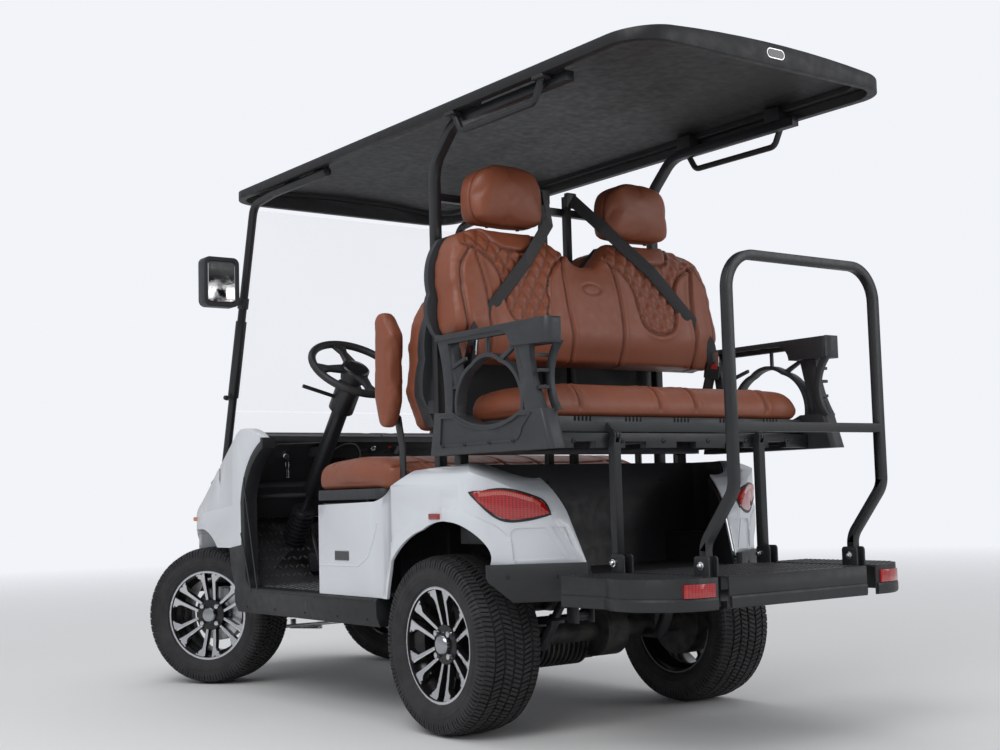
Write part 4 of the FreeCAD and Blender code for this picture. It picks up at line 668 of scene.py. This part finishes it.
QUILT_EDGE = [(78, 1462), (141, 1417), (176, 1362), (188, 1290), (205, 1238), (262, 1214),
              (318, 1226), (346, 1262), (358, 1320), (365, 1380), (404, 1428), (480, 1462)]
QUILT_TOP = [(480, 1462), (440, 1520), (300, 1560), (150, 1540), (78, 1462)]
NECK_LINE = [(160, 1545), (201, 1488), (250, 1459), (300, 1457), (352, 1470), (404, 1545)]
UPRIGHT_SEAMS = (
    [(92, 1460), (108, 1406), (112, 1300), (106, 1205), (100, 1090)],
    [(450, 1454), (432, 1363), (424, 1290), (427, 1215), (418, 1085)],
    [(466, 1448), (503, 1390), (510, 1310), (506, 1206), (480, 1120)],
)
BACK_LIP = (0.0022, 0.013, 0.009)
DIAMOND_MIDDLE = (0.262, 1.300)
DIAMOND_W = 0.047
DIAMOND_H = 0.070
DIAMOND_PUFF = 0.0075
DIAMOND_SINK = 0.0055
DIAMOND_ROUND = 0.009
# Width of the painted shade in the tufting creases
DIAMOND_SHADE_W = 0.0022
BOLSTER_X = 0.47
BOLSTER_W = 0.05
BOLSTER_TOP = 1.50
BOLSTER_PUFF = 0.010
OVAL_Z = 1.352
OVAL_HALF = (0.036, 0.017)
OVAL_W = 0.0028
OVAL_DEPTH = 0.0035


def fitted(line, drop, stretch):
    """A line of the rear back rest in metres, lowered and narrowed for another."""
    return [(x * stretch / 1000, z / 1000 - drop) for x, z in line]


def back_shape(drop, stretch, facing):
    """Sculpts a two-place back rest, with painted shade in its seams and tufting creases. Facing is +1 or -1 along
    Y.
    """
    lines = (QUILT_EDGE, NECK_LINE, *UPRIGHT_SEAMS)
    seams = [smooth_line(fitted(line, drop, stretch), 6) for line in lines]
    neck = seams[1]
    quilt = np.vstack([seams[0], fitted(QUILT_TOP, drop, stretch)])

    def shape(co, normal):
        spots = np.stack([np.abs(co[:, 0]), co[:, 2]], axis=1)
        front = np.clip(normal[:, 1] * facing * 2.0, 0, 1)
        height, seam = sewn([line_distance(spots, line) for line in seams], *BACK_LIP)
        within = inside(spots, quilt) & ~inside(spots, neck)
        across = (spots[:, 0] - DIAMOND_MIDDLE[0] * stretch) / (DIAMOND_W * stretch)
        up = (spots[:, 1] - DIAMOND_MIDDLE[1] + drop) / DIAMOND_H
        first, second = (np.abs((value + 0.5) % 1 - 0.5) for value in (across + up, across - up))
        near = np.minimum(first, second) * DIAMOND_W * 0.8
        tuft = DIAMOND_PUFF * (1 - bell(near, DIAMOND_ROUND)) - DIAMOND_SINK
        height += np.where(within, tuft, 0)
        # Painted shade in the creases between the tufted diamonds
        seam = np.where(within, np.maximum(seam, 0.75 * bell(near, DIAMOND_SHADE_W)), seam)
        bolster = bell(spots[:, 0] - BOLSTER_X * stretch, BOLSTER_W)
        height += BOLSTER_PUFF * bolster * np.clip((BOLSTER_TOP - drop - spots[:, 1]) / 0.1, 0, 1)
        oval = np.hypot(spots[:, 0] / OVAL_HALF[0], (spots[:, 1] - OVAL_Z + drop) / OVAL_HALF[1])
        rim = (oval - 1) * OVAL_HALF[1]
        height += groove(rim, OVAL_W, OVAL_DEPTH)
        # Painted shade in the groove round the oval
        seam = np.maximum(seam, 0.5 * bell(rim, 0.002))
        return height * front, seam * front
    return shape


BACK_SHARE = 0.97
# How far the front back rest lies below the rear one, and how much narrower it is
FRONT_DROP = 0.156
FRONT_SHARE = 0.87

rear_back = cushion_mesh("rear_back_pad", 0.010, 0.012)
scaled(rear_back, (0, 0, 0), (BACK_SHARE, 1, 1))
upholster(rear_back, "rear_back_rest", "rear_back_pad", back_shape(0.0, 1.0, 1))
front_back = cushion_mesh("front_back_pad", 0.011, 0.010)
upholster(front_back, "front_back_rest", "front_back_pad", back_shape(FRONT_DROP, FRONT_SHARE, -1))


# Seat cushions

CUSHION_LIP = (0.0025, 0.016, 0.012)
CUSHION_SHARE = 0.965
END_SPAN = 0.15
END_RAMP = 0.10
END_DEPTH = 0.13


def cushion_shape(lines, front_y, panel_y, half, swell):
    """Sculpts a bench cushion: seams across at some stations, one along behind a panel, and raised ends, with
    painted shade in the seams.
    """
    def shape(co, normal):
        upward = np.clip(normal[:, 2] * 2.5 + 0.6, 0, 1)
        height, seam = sewn([np.abs(np.abs(co[:, 0]) - x) for x in lines], *CUSHION_LIP)
        for y in (front_y, panel_y):
            distance = np.abs(co[:, 1] - y)
            top = np.clip(normal[:, 2] * 3 - 1.5, 0, 1)
            height += groove(distance, SEAM_W, SEAM_DEPTH * 0.8) * top
            # Painted shade in the grooves across the top
            seam = np.maximum(seam, bell(distance, SEAM_SHADE_W) * top)
        middle = (co[:, 1].min() + co[:, 1].max()) / 2
        end = np.clip((np.abs(co[:, 0]) - half + END_SPAN) / END_RAMP, 0, 1) ** 2
        height += swell * end * bell(co[:, 1] - middle, END_DEPTH)
        return height * upward, seam * upward
    return shape


low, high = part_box("rear_seat_cushion")
rear_cushion = cushion_mesh("rear_seat_cushion", 0.010, 0.012)
scaled(rear_cushion, (0, high.y, 0), (1, CUSHION_SHARE, 1))
shape = cushion_shape((0.072, 0.378), high.y - 0.085, low.y + 0.06, high.x, 0.008)
upholster(rear_cushion, "rear_seat_pad", "rear_seat_cushion", shape)

low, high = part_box("front_seat_cushion")
front_cushion = cushion_mesh("front_seat_cushion", 0.011, 0.012)
shape = cushion_shape((0.072, 0.39), low.y + 0.10, high.y - 0.06, high.x, 0.016)
upholster(front_cushion, "front_seat_pad", "front_seat_cushion", shape)


# Head rests on their bars

ARCH_SHARE = 0.60
ARCH_POWER = 2.3
REST_SPLIT_Y = 0.5
REST_DEPTH = 0.018
REST_BAR_R = 0.006
SLACK = np.full(3, 0.001)
REST_BAR_X = 0.06
REST_BAR_IN = 0.03
REST_STRETCH = 1.09
REST_WIDEN = 1.05


def arch_over(made, middle_x, low_z, high_z):
    """Draws a head rest in towards its top, as an arch."""
    co = coordinates(made)
    spring = high_z - (high_z - low_z) * ARCH_SHARE
    rise = np.clip((co[:, 2] - spring) / (high_z - spring), 0, 0.97)
    share = (1 - rise ** ARCH_POWER) ** (1 / ARCH_POWER)
    foot = np.clip((spring - co[:, 2]) / (spring - low_z), 0, 1)
    co[:, 0] = middle_x + (co[:, 0] - middle_x) * (0.30 + 0.70 * share) * (1 - 0.07 * foot ** 2)
    move_to(made, co)


def rest_shape(centre_y, half_y):
    """Sculpts a head rest: a seam round it behind its front face, with painted shade in the seam."""
    def shape(co, normal):
        distance = np.abs(co[:, 1] - centre_y - half_y)
        return edged(distance, 1.4 - np.abs(normal[:, 1]) * 1.6, SEAM_W, 0.005)
    return shape


all_rests = coordinates(nodes["head_rests"])
places = [(rear, side) for rear in (False, True) for side in (-1, 1)]
for index, (rear, side) in enumerate(places):
    own = all_rests[((all_rests[:, 1] > REST_SPLIT_Y) == rear) & (all_rests[:, 0] * side > 0)]
    low, high = own.min(0), own.max(0)
    pad_low = high[2] - (0.178 if rear else 0.138)
    middle = (low + high) / 2
    name = f"head_rest_{index}"
    least, most = (low[0], low[1], pad_low) - SLACK, high + SLACK
    rest = cushion_mesh("head_rests", 0.009, 0.008, 10,
                        keep=lambda spot: all(a < b < c for a, b, c in zip(least, spot, most)))
    arch_over(rest, middle[0], pad_low, high[2])
    scaled(rest, (middle[0], 0, high[2]), (REST_WIDEN, 1, REST_STRETCH))
    shape = rest_shape(middle[1], REST_DEPTH if rear else -REST_DEPTH)
    upholster(rest, name, "head_rests", shape)
    for mark, offset in (("a", -REST_BAR_X), ("b", REST_BAR_X)):
        x = middle[0] + offset
        ends = [(x, middle[1], z) for z in (low[2], pad_low + REST_BAR_IN)]
        tube(f"{name}_bar_{mark}", ends, REST_BAR_R, BRIGHT)


# Armrest pads

ARM_EDGE = 0.012
ARM_GROOVE = 0.004


def armrest_shape(co, normal):
    """Sculpts an armrest pad: a seam round its edge on both faces, with painted shade in the seam."""
    reach = np.abs(co[:, 0])
    distance = np.abs(reach - (reach.min() + ARM_EDGE))
    return edged(distance, 1.3 - np.abs(normal[:, 0]) * 1.5, ARM_GROOVE, ARM_GROOVE)


for hand, _ in SIDES:
    node = f"front_armrest_{hand}"
    arm = cushion_mesh(node, 0.008, 0.006, 10, 3.0)
    upholster(arm, f"armrest_pad_{hand}", node, armrest_shape)


# Tyres

TREAD_PITCHES = 58
TREAD_DEPTH = 0.007
TREAD_HALF = 0.093
BLOCK_DRAW = 0.0012
# Columns of blocks: inner and outer edge across the tread, skew of their ends and shift round the tyre
TREAD_COLUMNS = (
    (-0.099, -0.068, 0.25, 0.0),
    (-0.063, -0.036, -0.35, 0.5),
    (-0.031, -0.003, 0.35, 0.0),
    (0.003, 0.031, 0.35, 0.5),
    (0.036, 0.063, -0.35, 0.0),
    (0.068, 0.099, 0.25, 0.5),
)
# Ends of the blocks and of the shoulder lugs, as shares of a pitch
BLOCK_SPANS = ((0.06, 0.47), (0.52, 0.90))
LUG_SPANS = ((0.08, 0.44), (0.54, 0.88))
# Radius and half width down the sidewall, then station and drop round the shoulder
CASING = (
    (0.166, 0.079), (0.176, 0.094), (0.196, 0.1045), (0.206, 0.1062), (0.208, 0.1072), (0.212, 0.1072),
    (0.214, 0.1062), (0.226, 0.1055), (0.238, 0.103), (0.249, 0.0975),
)
SHOULDER = ((0.0965, -0.0095), (0.1045, -0.0165), (0.1072, -0.030), (0.1060, -0.042))
low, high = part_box("tyre_rear_left")
TYRE_R = (high.z - low.z) / 2
PITCH = 2 * math.pi / TREAD_PITCHES


def crown(x):
    """Radius of the tread at a station across it."""
    return TYRE_R - 0.0028 * (x / 0.08) ** 2 - 0.010 * max(0.0, (abs(x) - 0.084) / 0.016) ** 2


def about(x, radius, angle):
    """Point about the axle, which is along X."""
    return x, radius * math.cos(angle), radius * math.sin(angle)


def tyre_mesh():
    """Casing with rings on its sidewalls, and rows of blocks."""
    profile = [(radius, -x) for radius, x in CASING]
    profile += [(crown(x) - TREAD_DEPTH, x) for x in np.linspace(-TREAD_HALF, TREAD_HALF, 9)]
    profile += [(radius, x) for radius, x in reversed(CASING)]
    steps = angles(TREAD_PITCHES * 3)
    verts = [about(x, radius, angle) for angle in steps for radius, x in profile]
    faces = skin(0, len(steps), len(profile), closed=True)
    for turn in range(TREAD_PITCHES):
        for start, end, skew, shift in TREAD_COLUMNS:
            for span in BLOCK_SPANS:
                add_block(verts, faces, turn + shift, (start, end), skew, span)
        for side in (-1, 1):
            add_shoulder(verts, faces, turn + (0.5 if side > 0 else 0.0), side)
    return verts, faces


def add_block(verts, faces, turn, xs, skew, span):
    """One tread block with its corners drawn in towards the top."""
    faces += skin(len(verts), 2, 4, floor=False)
    for level, draw in ((-TREAD_DEPTH - 0.001, 0.0), (0.0, BLOCK_DRAW)):
        near, far = xs[0] + draw, xs[1] - draw
        for x, share in ((near, span[0]), (far, span[0]), (far, span[1]), (near, span[1])):
            lean = skew * (x - (xs[0] + xs[1]) / 2) / (xs[1] - xs[0])
            inward = draw / TYRE_R / PITCH * (1 if share == span[0] else -1)
            verts.append(about(x, crown(x) + level, (turn + share + lean + inward) * PITCH))


def add_shoulder(verts, faces, turn, side):
    """Lugs that wrap the tyre's shoulder."""
    for low, high in LUG_SPANS:
        first = len(verts)
        for x, drop in SHOULDER:
            for rise in (-0.004, 0.0):
                for share in (low, high):
                    verts.append(about(side * (x + rise), TYRE_R + drop, (turn + share) * PITCH))
        for a in range(first, len(verts) - 4, 4):
            faces += [(a + 2, a + 3, a + 7, a + 6), (a, a + 2, a + 6, a + 4), (a + 1, a + 5, a + 7, a + 3)]
        last = len(verts) - 4
        faces += [(first, first + 1, first + 3, first + 2), (last, last + 2, last + 3, last + 1)]


UP = Vector((0, 0, 1))
tyre_verts, tyre_faces = tyre_mesh()
for wheel, joint in WHEELS.items():
    axle = Vector(joint["axis"]).normalized()
    turn = Matrix((axle, UP.cross(axle).normalized(), UP)).transposed().to_4x4()
    place = Matrix.Translation(joint["pos_m"]) @ turn
    seated = [place @ Vector(vert) for vert in tyre_verts]
    tyre = piece("tread_" + wheel, seated, tyre_faces, (MATERIALS["tyre"], "tyre"), joint["child"])
    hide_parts("tyre_" + wheel)


# Fasteners, trims and fittings. Places are millimetres of the drawing, whose depth datum isn't the scene's.

DATUM_Y = 0.06525


def at(x, y, z):
    """Place of the drawing, in metres of the scene."""
    return Vector((x / 1000, y / 1000 + DATUM_Y, z / 1000))


def met_on(node, spots, ahead, sides=SIDES):
    """Surface points and normals of a node met by rays through spots, on each side of the cart."""
    tree = surface(nodes[node])
    met = []
    for _, side in sides:
        way = (side * ahead[0], *ahead[1:])
        met += [touch(tree, at(side * x, y, z), way) for x, y, z in spots]
    return [hit for hit in met if hit]


INWARD = (-1, 0, 0)
FORWARD = (0, -1, 0)
BOLT_HEAD = ((1.0, 0.0), (0.98, 0.28), (0.80, 0.52), (0.45, 0.62), (0.40, 0.36))
# Name, node, places, direction of the rays, radius
FIXINGS = (
    ("arm_base_bolts", "rear_armrests", [(590, y, 848) for y in (650, 760, 880, 990)], INWARD, 0.006),
    ("handle_bolts", "assist_handles", [(495, 592, 1850), (495, 1043, 1850)], (0, 0, 1), 0.007),
    ("beam_bolts", "rear_seat_frame", [(x, 1079, 846) for x in (90, 250, 430)], FORWARD, 0.007),
    ("bumper_bolts", "corner_bumpers", [(520, 850, 470), (400, 925, 470)], (-0.5, -0.85, 0), 0.006),
    ("sill_bolts", "door_surrounds", [(568, y, 320) for y in (-700, -480, -260, -40, 150)], INWARD, 0.005),
    ("kick_bolts", "seat_box", [(430, -173, 440), (430, -173, 650)], (0, 1, 0), 0.005),
    ("well_bolts", "bag_well", [(150, 575, 740), (330, 575, 740), (150, 575, 520)], FORWARD, 0.006),
)
for bolt_name, node, spots, ahead, radius in FIXINGS:
    head = [(share * radius, height * radius) for share, height in BOLT_HEAD]
    turned(bolt_name, met_on(node, spots, ahead), head, TRIM, sides=14)

TAB_BOLT = ((0.011, 0.0), (0.011, 0.0025), (0.0075, 0.003), (0.0072, 0.008), (0.005, 0.0105), (0.001, 0.011))
TAB_YS = (1062, 1406)
TAB_Z = 505
through = []
for x, way in ((370, -1), (230, 1)):
    through += met_on("footrest_frame", [(x, y, TAB_Z) for y in TAB_YS], (way, 0, 0))
turned("tab_bolts", through, TAB_BOLT, BRIGHT, sides=16)

STEP_BAND = (0.030, 0.005, TRIM)
# Name, node, line, direction of the rays, width, height, finish
BANDS = (
    ("door_trim_outer", "door_surrounds",
     [(568, -590, 935), (568, -772, 843), (568, -784, 712), (568, -660, 374)], INWARD, 0.009, 0.0025, TRIM),
    ("door_trim_inner", "door_surrounds",
     [(568, -718, 862), (568, -700, 711), (568, -606, 382), (568, 190, 382)], INWARD, 0.006, 0.0025, TRIM),
    ("panel_ledge", "rear_wings",
     [(562, -152, 486), (562, 97, 487), (562, 157, 516), (562, 189, 567), (562, 220, 628)], INWARD,
     0.007, 0.002, WHITE),
    ("sill_seam", "door_surrounds", [(568, -245, 300), (568, -245, 372)], INWARD, 0.003, 0.0006, GLOSS),
    ("pocket_edge", "dash",
     [(272, -649, 920), (455, -653, 915), (508, -699, 858), (488, -772, 758)], FORWARD, 0.005, 0.002, GREY),
    ("dash_strip", "dash", [(4, -652, 940), (505, -652, 940)], (0, 0, -1), 0.010, 0.0025, GREY),
    ("step_band_middle", "footrest_covers", [(0, 1466, 413), (268, 1466, 413)], FORWARD, *STEP_BAND),
    ("step_band_outer", "footrest_covers", [(316, 1466, 413), (428, 1466, 413)], FORWARD, *STEP_BAND),
    ("step_band_side", "footrest_covers", [(500, 1054, 413), (500, 1460, 413)], INWARD, *STEP_BAND),
    ("bumper_band", "front_bumper", [(0, -1659, 380), (380, -1659, 380)], (0, 1, 0), 0.008, 0.003, TRIM),
)
for band_name, node, line, ahead, width, height, finish in BANDS:
    for hand, side in SIDES:
        points = [at(side * x, y, z) for x, y, z in line]
        track = trace(node, points, (side * ahead[0], *ahead[1:]))
        ribbon(f"{band_name}_{hand}", track, width, height, finish)


# Tread of the floor mat and tiles of the footrest

MAT_REAR_Y = -0.176
MAT_ROWS = 38
MAT_FLAT_ROWS = 23
MAT_PITCH = 0.024
MAT_SLOPE_SHARE = 0.83
MAT_ABOVE = 0.6
TREAD_SIZE = (0.026, 0.0085, 0.0026)
TILE_FRONT_Y = 1.068
TILE_ROWS = 22
TILE_PITCH = (0.0265, 0.0175)
TILE_ABOVE = 0.478
TILE_FACE_Z = 0.47
TILE_SIZE = (0.021, 0.010, 0.0014)
ACROSS = Vector((1, 0, 0))


def grid(node, columns, pitch, depths, height):
    """Row, column, surface point and normal of each downward ray of a grid over a node."""
    tree = surface(nodes[node])
    for row, y in enumerate(depths):
        for column in range(-columns, columns + 1):
            met = touch(tree, (column * pitch, y + DATUM_Y, height), (0, 0, -1))
            if met:
                yield row, column, *met


treads = []
shares = [1.0 if row < MAT_FLAT_ROWS else MAT_SLOPE_SHARE for row in range(MAT_ROWS)]
depths = [MAT_REAR_Y - row * MAT_PITCH * share for row, share in enumerate(shares)]
for row, column, point, normal in grid("floor_mat", 20, MAT_PITCH, depths, MAT_ABOVE):
    if normal.z > 0.3:
        uphill = normal.cross(ACROSS).normalized()
        turn = 1 if (row + column) % 2 else -1
        treads.append((point, (ACROSS + uphill * turn).normalized(), normal))
# The lozenges' paler rubber is a painted glint.
lozenges("mat_tread", treads, *TREAD_SIZE, TREAD_PAINTED_GLINT)

depths = [TILE_FRONT_Y + row * TILE_PITCH[1] for row in range(TILE_ROWS)]
hits = grid("footrest_covers", 18, TILE_PITCH[0], depths, TILE_ABOVE)
tiles = [(point, ACROSS, normal) for _, _, point, normal in hits
         if normal.z > 0.95 and point.z > TILE_FACE_Z]
lozenges("step_tiles", tiles, *TILE_SIZE, TRIM)


# Dash: arched moulding, key with its ring, switches and the roll below

ARCH_X, ARCH_Z = 145, 856
ARCH_HALF = (71, 62)
ARCH_STEPS = 12
leg = [(-760, 720), (-700, 850)]
arch = [at(ARCH_X + ARCH_HALF[0], *foot) for foot in leg]
for step in range(ARCH_STEPS + 1):
    angle = math.pi * step / ARCH_STEPS
    arch.append(at(ARCH_X + ARCH_HALF[0] * math.cos(angle), -680, ARCH_Z + ARCH_HALF[1] * math.sin(angle)))
arch += [at(ARCH_X - ARCH_HALF[0], *foot) for foot in reversed(leg)]
ribbon("dash_arch", trace("dash", arch, FORWARD), 0.005, 0.003, GREY)

DASH_Y = -700
DISC_R = 0.012
DISC = ((1.0, -0.1), (1.0, 0.5), (0.86, 0.62), (0.5, 0.62), (0.45, 0.4))
ROCKER_Z = 894
ROCKER_HALF = 13


def dash_disc(name, x, z):
    """Round fitting on the cabin face of the dash."""
    places = met_on("dash", [(x, DASH_Y, z)], FORWARD, SIDES[:1])
    turned(name, places, [(share * DISC_R, height * DISC_R) for share, height in DISC], BRIGHT)
    return places[0]


dash_disc("power_switch", 30, 900)
for name, x, finish in (("rocker_red", -44, (SWITCH_RED, "grey_shell")), ("rocker_grey", -84, GREY)):
    ends = [at(x, DASH_Y, ROCKER_Z + end) for end in (-ROCKER_HALF, ROCKER_HALF)]
    ribbon(name, trace("dash", ends, FORWARD, 0.026), 0.017, 0.006, finish)

KEY_REACH = 0.020
RING_DROP = 0.026
RING_HALF = (0.013, 0.015)
RING_BAR_R = 0.0011
lock, lock_way = dash_disc("key_lock", 402, 874)
head = lock + lock_way * KEY_REACH
plate("key_head", (0.010, 0.013, 0.006), head, (0, 0.2, 1), (1, 0, 0), 0.003, TRIM)
ring_middle = head + Vector((0.002, 0, -RING_DROP))
ring = [ring_middle + Vector((0, math.cos(angle) * RING_HALF[0], math.sin(angle) * RING_HALF[1]))
        for angle in np.linspace(0, 2 * math.pi, 22)]
tube("key_ring", ring, RING_BAR_R, BRIGHT, 8)
for lean, name in ((-0.006, "spare_key"), (0.007, "key_tag")):
    hung = ring_middle + Vector((0, lean, -0.032))
    plate(name, (0.016, 0.006, 0.003), hung, (0, lean * 3, 1), (1, 0, 0), 0.002, BRIGHT)
tube("dash_roll", [at(x, -803, 724) for x in (-505, 505)], 0.013, (MATERIALS["black_leather"], "black_trim"))

BOSS = ((0.052, -0.004), (0.052, 0.002), (0.046, 0.006), (0.028, 0.009))
turning = JOINTS["steering_wheel_turn"]
boss_way = Vector(turning["axis"]).normalized()
boss_way *= 1 if boss_way.z > 0 else -1
boss, _ = touch(surface(nodes["steering_wheel"]), Vector(turning["pos_m"]), -boss_way)
turned("wheel_boss", [(boss, boss_way)], BOSS, (GLOSS_BLACK, "grip"), turning["child"], 28)


# Mirrors, plain badge plates, marker lamps, post latches and belt tongues

KNOB = ((0.009, 0.0), (0.009, 0.010), (0.007, 0.013), (0.0, 0.013))
BELT_WAY = (0.62, 0, 0.78)
# Name, two ends on the belt, width, height, finish
BELT_PARTS = (
    ("belt_tongue", (498, 679, 1165), (501, 675, 1118), 0.050, 0.006, BRIGHT),
    ("belt_buckle", (500, 676, 1135), (504, 662, 1080), 0.056, 0.013, TRIM),
    ("buckle_button", (502, 681, 1128), (503, 678, 1112), 0.030, 0.0145, (SWITCH_RED, "black_trim")),
)
# Name, size, height and finish of a badge's rim and face
PANEL_BADGE = (("panel_plate_rim", (0.048, 0.018, 0.004), 0.0015, BRIGHT),
               ("panel_plate", (0.045, 0.015, 0.003), 0.0026, GLOSS))
ROOF_BADGE = (("roof_oval_rim", (0.036, 0.0145, 0.0144, 10), 0.002, BRIGHT),
              ("roof_oval", (0.033, 0.0118, 0.0117, 10), 0.003, (GLOSS_BLACK, "grey_shell")))
for hand, side in SIDES:
    own = ((hand, side),)
    mirror = at(side * 631, -741.6, 1525)
    plate(f"mirror_face_{hand}", (0.055, 0.077, 0.013), mirror, (1, 0, 0), (0, 1, 0), 0.0015, MIRROR)
    panel, way = met_on("rear_wings", [(562, -3, 518)], INWARD, own)[0]
    for name, size, height, finish in PANEL_BADGE:
        plate(f"{name}_{hand}", size, panel, (0, 1, 0), way, height, finish)
    for flare, way in met_on("front_cowl", [(480, -1351, 638)], INWARD, own):
        plate(f"marker_{hand}", (0.024, 0.009, 0.009), flare, (0, 1, 0), way, 0.005, AMBER)
    latch = [(at(side * 493, y, 1109), Vector((side, 0, 0))) for y in (-988, -946)]
    ribbon(f"screen_latch_{hand}", latch, 0.018, 0.014, TRIM)
    turned(f"latch_knob_{hand}", [(at(side * 506, -966, 1109), (side, 0, 0))], KNOB, TRIM)
    belt_out = Vector((side * BELT_WAY[0], *BELT_WAY[1:]))
    for name, top, foot, width, height, finish in BELT_PARTS:
        track = [(at(side * x, y, z), belt_out) for x, y, z in (top, foot)]
        ribbon(f"{name}_{hand}", track, width, height, finish)

fascia, way = met_on("roof", [(0, 1459, 1899)], FORWARD, SIDES[:1])[0]
for name, size, height, finish in ROOF_BADGE:
    plate(name, size, fascia, (1, 0, 0), way, height, finish)


# Tail lamps: dark rim and the paler band along the top

LAMP_MIDDLE = (478, 822, 690)
LAMP_ALONG = (-0.8443, 0.5360)
LAMP_STEP = 0.010
LAMP_RIM = ([(-122, 21), (-20, 28), (64, 6), (96, -13), (110, -46)],
            [(110, -46), (46, -60), (-16, -62), (-63, -39), (-122, 21)])
LAMP_BAND = [(-96, 14), (-20, 17), (54, -3), (82, -18)]


def on_lamp(side, line):
    """Places on the slanted rear corner, from distances along it and up."""
    x, y, z = LAMP_MIDDLE
    return [at(side * (x + run * LAMP_ALONG[0]), y + run * LAMP_ALONG[1], z + rise) for run, rise in line]


for hand, side in SIDES:
    inward = (-side * LAMP_ALONG[1], LAMP_ALONG[0], 0)
    rim = [spot for line in LAMP_RIM for spot in smooth_line(line, 5)[:-1]]
    track = trace("rear_wings", on_lamp(side, rim + rim[:1]), inward, LAMP_STEP)[:-1]
    ribbon(f"lamp_rim_{hand}", track, 0.007, 0.003, TRIM, closed=True)
    band = trace("tail_lamps", on_lamp(side, smooth_line(LAMP_BAND, 6)), inward, LAMP_STEP)
    ribbon(f"lamp_band_{hand}", band, 0.011, 0.0014, LAMP_GLOW)


# Thread along the main seams of the back rests

STITCH_PITCH = 0.0085
STITCH_BESIDE = 0.0065
STITCH_SIZE = (0.0052, 0.0016, 0.0009)


def stitches(name, pad, drop, stretch, facing):
    """Stitches beside seams, laid on the finished pad."""
    tree = surface(pad)
    middle_y = float(coordinates(pad)[:, 1].mean())
    spots = []
    for line in (QUILT_EDGE, *UPRIGHT_SEAMS):
        curve = smooth_line(fitted(line, drop, stretch), 8)
        length = np.concatenate([[0], np.cumsum(np.linalg.norm(np.diff(curve, axis=0), axis=1))])
        for reach in np.arange(0, length[-1], STITCH_PITCH):
            x, z = (np.interp(reach, length, curve[:, axis]) for axis in (0, 1))
            ahead = [np.interp(reach + 0.002, length, curve[:, axis]) for axis in (0, 1)]
            run = Vector((ahead[0] - x, 0, ahead[1] - z))
            if run.length < MERGE:
                continue
            run.normalize()
            for _, side in SIDES:
                spot = (side * (x - run.z * STITCH_BESIDE), middle_y, z + run.x * STITCH_BESIDE)
                met = touch(tree, spot, (0, -facing, 0))
                if met:
                    along = Vector((side * run.x, 0, run.z))
                    along = (along - met[1] * along.dot(met[1])).normalized()
                    spots.append((met[0], along, met[1]))
    lozenges(name, spots, *STITCH_SIZE, STITCH)


stitches("rear_back_thread", rear_back, 0.0, 1.0, 1)
stitches("front_back_thread", front_back, FRONT_DROP, FRONT_SHARE, -1)


# Camera, lights and floor

CAMERA_PLACE = Vector((2.88769, 4.09047, 0.69996))
CAMERA_AHEAD = Vector((-0.594227, -0.799674, 0.086112))
CAMERA_RIGHT = Vector((-0.803751, 0.594356, -0.026933))
CAMERA_UP = Vector((0.029644, 0.085217, 0.995921))
FOCAL_MM = 50.28
FLOOR_COLOUR = (0.80, 0.80, 0.79)
FLOOR_HALF = 14.0
FLOOR_FADE = (3.0, 12.0)
SKY_COLOUR = (0.93, 0.95, 1.0, 1.0)
SKY_ON_CART = 0.52
SKY_TO_CAMERA = 0.95


def add_camera():
    data = bpy.data.cameras.new("camera")
    data.lens = FOCAL_MM
    camera = new_object("camera", data)
    turn = Matrix((CAMERA_RIGHT, CAMERA_UP, -CAMERA_AHEAD)).transposed().to_4x4()
    camera.matrix_world = Matrix.Translation(CAMERA_PLACE) @ turn
    bpy.context.scene.camera = camera


def add_floor():
    """Pale plain floor that fades out far from the cart and takes its shadow."""
    made = Shader("floor_paper", FLOOR_COLOUR, 0.9)
    made.mottle(FLOOR_COLOUR, darker(FLOOR_COLOUR, 0.99), 0.4)
    made.link(made.ramp(made.vector("LENGTH", made.place), *FLOOR_FADE, 1.0, 0.0), "Alpha")
    corners = [(a * FLOOR_HALF, b * FLOOR_HALF, 0) for a, b in ((-1, -1), (1, -1), (1, 1), (-1, 1))]
    mesh = bpy.data.meshes.new("floor")
    mesh.from_pydata(corners, [], [(0, 1, 2, 3)])
    mesh.materials.append(made.material)
    new_object("floor", mesh)


def add_light(name, place, target, size, watts):
    data = bpy.data.lights.new(name, "AREA")
    data.shape = "RECTANGLE"
    data.size, data.size_y = size
    data.energy = watts
    aim = (Vector(target) - Vector(place)).to_track_quat("-Z", "Y").to_matrix().to_4x4()
    new_object(name, data).matrix_world = Matrix.Translation(place) @ aim


def add_world():
    """Even pale sky, paler to the camera and through glass."""
    world = bpy.data.worlds.new("studio")
    world.use_nodes = True
    tree = world.node_tree
    background = tree.nodes["Background"]
    background.inputs["Color"].default_value = SKY_COLOUR
    rays = add_node(tree, "LightPath").outputs
    seen = {0: rays["Is Camera Ray"], 1: rays["Is Transmission Ray"]}
    seen = add_node(tree, "Math", seen, operation="MAXIMUM").outputs[0]
    span = {"Value": seen, "To Min": SKY_ON_CART, "To Max": SKY_TO_CAMERA}
    strength = add_node(tree, "MapRange", span).outputs["Result"]
    tree.links.new(strength, background.inputs["Strength"])
    bpy.context.scene.world = world


add_camera()
add_floor()
add_world()
add_light("key", (5.0, 3.0, 5.5), (0, 0, 0.8), (4.0, 4.0), 185)
add_light("fill", (-3.5, 6.0, 3.0), (0, 0.5, 0.8), (4.0, 3.0), 70)
add_light("top", (0.0, -1.0, 7.0), (0, 0, 0.5), (6.0, 6.0), 120)

bpy.context.scene.view_settings.view_transform = "Standard"
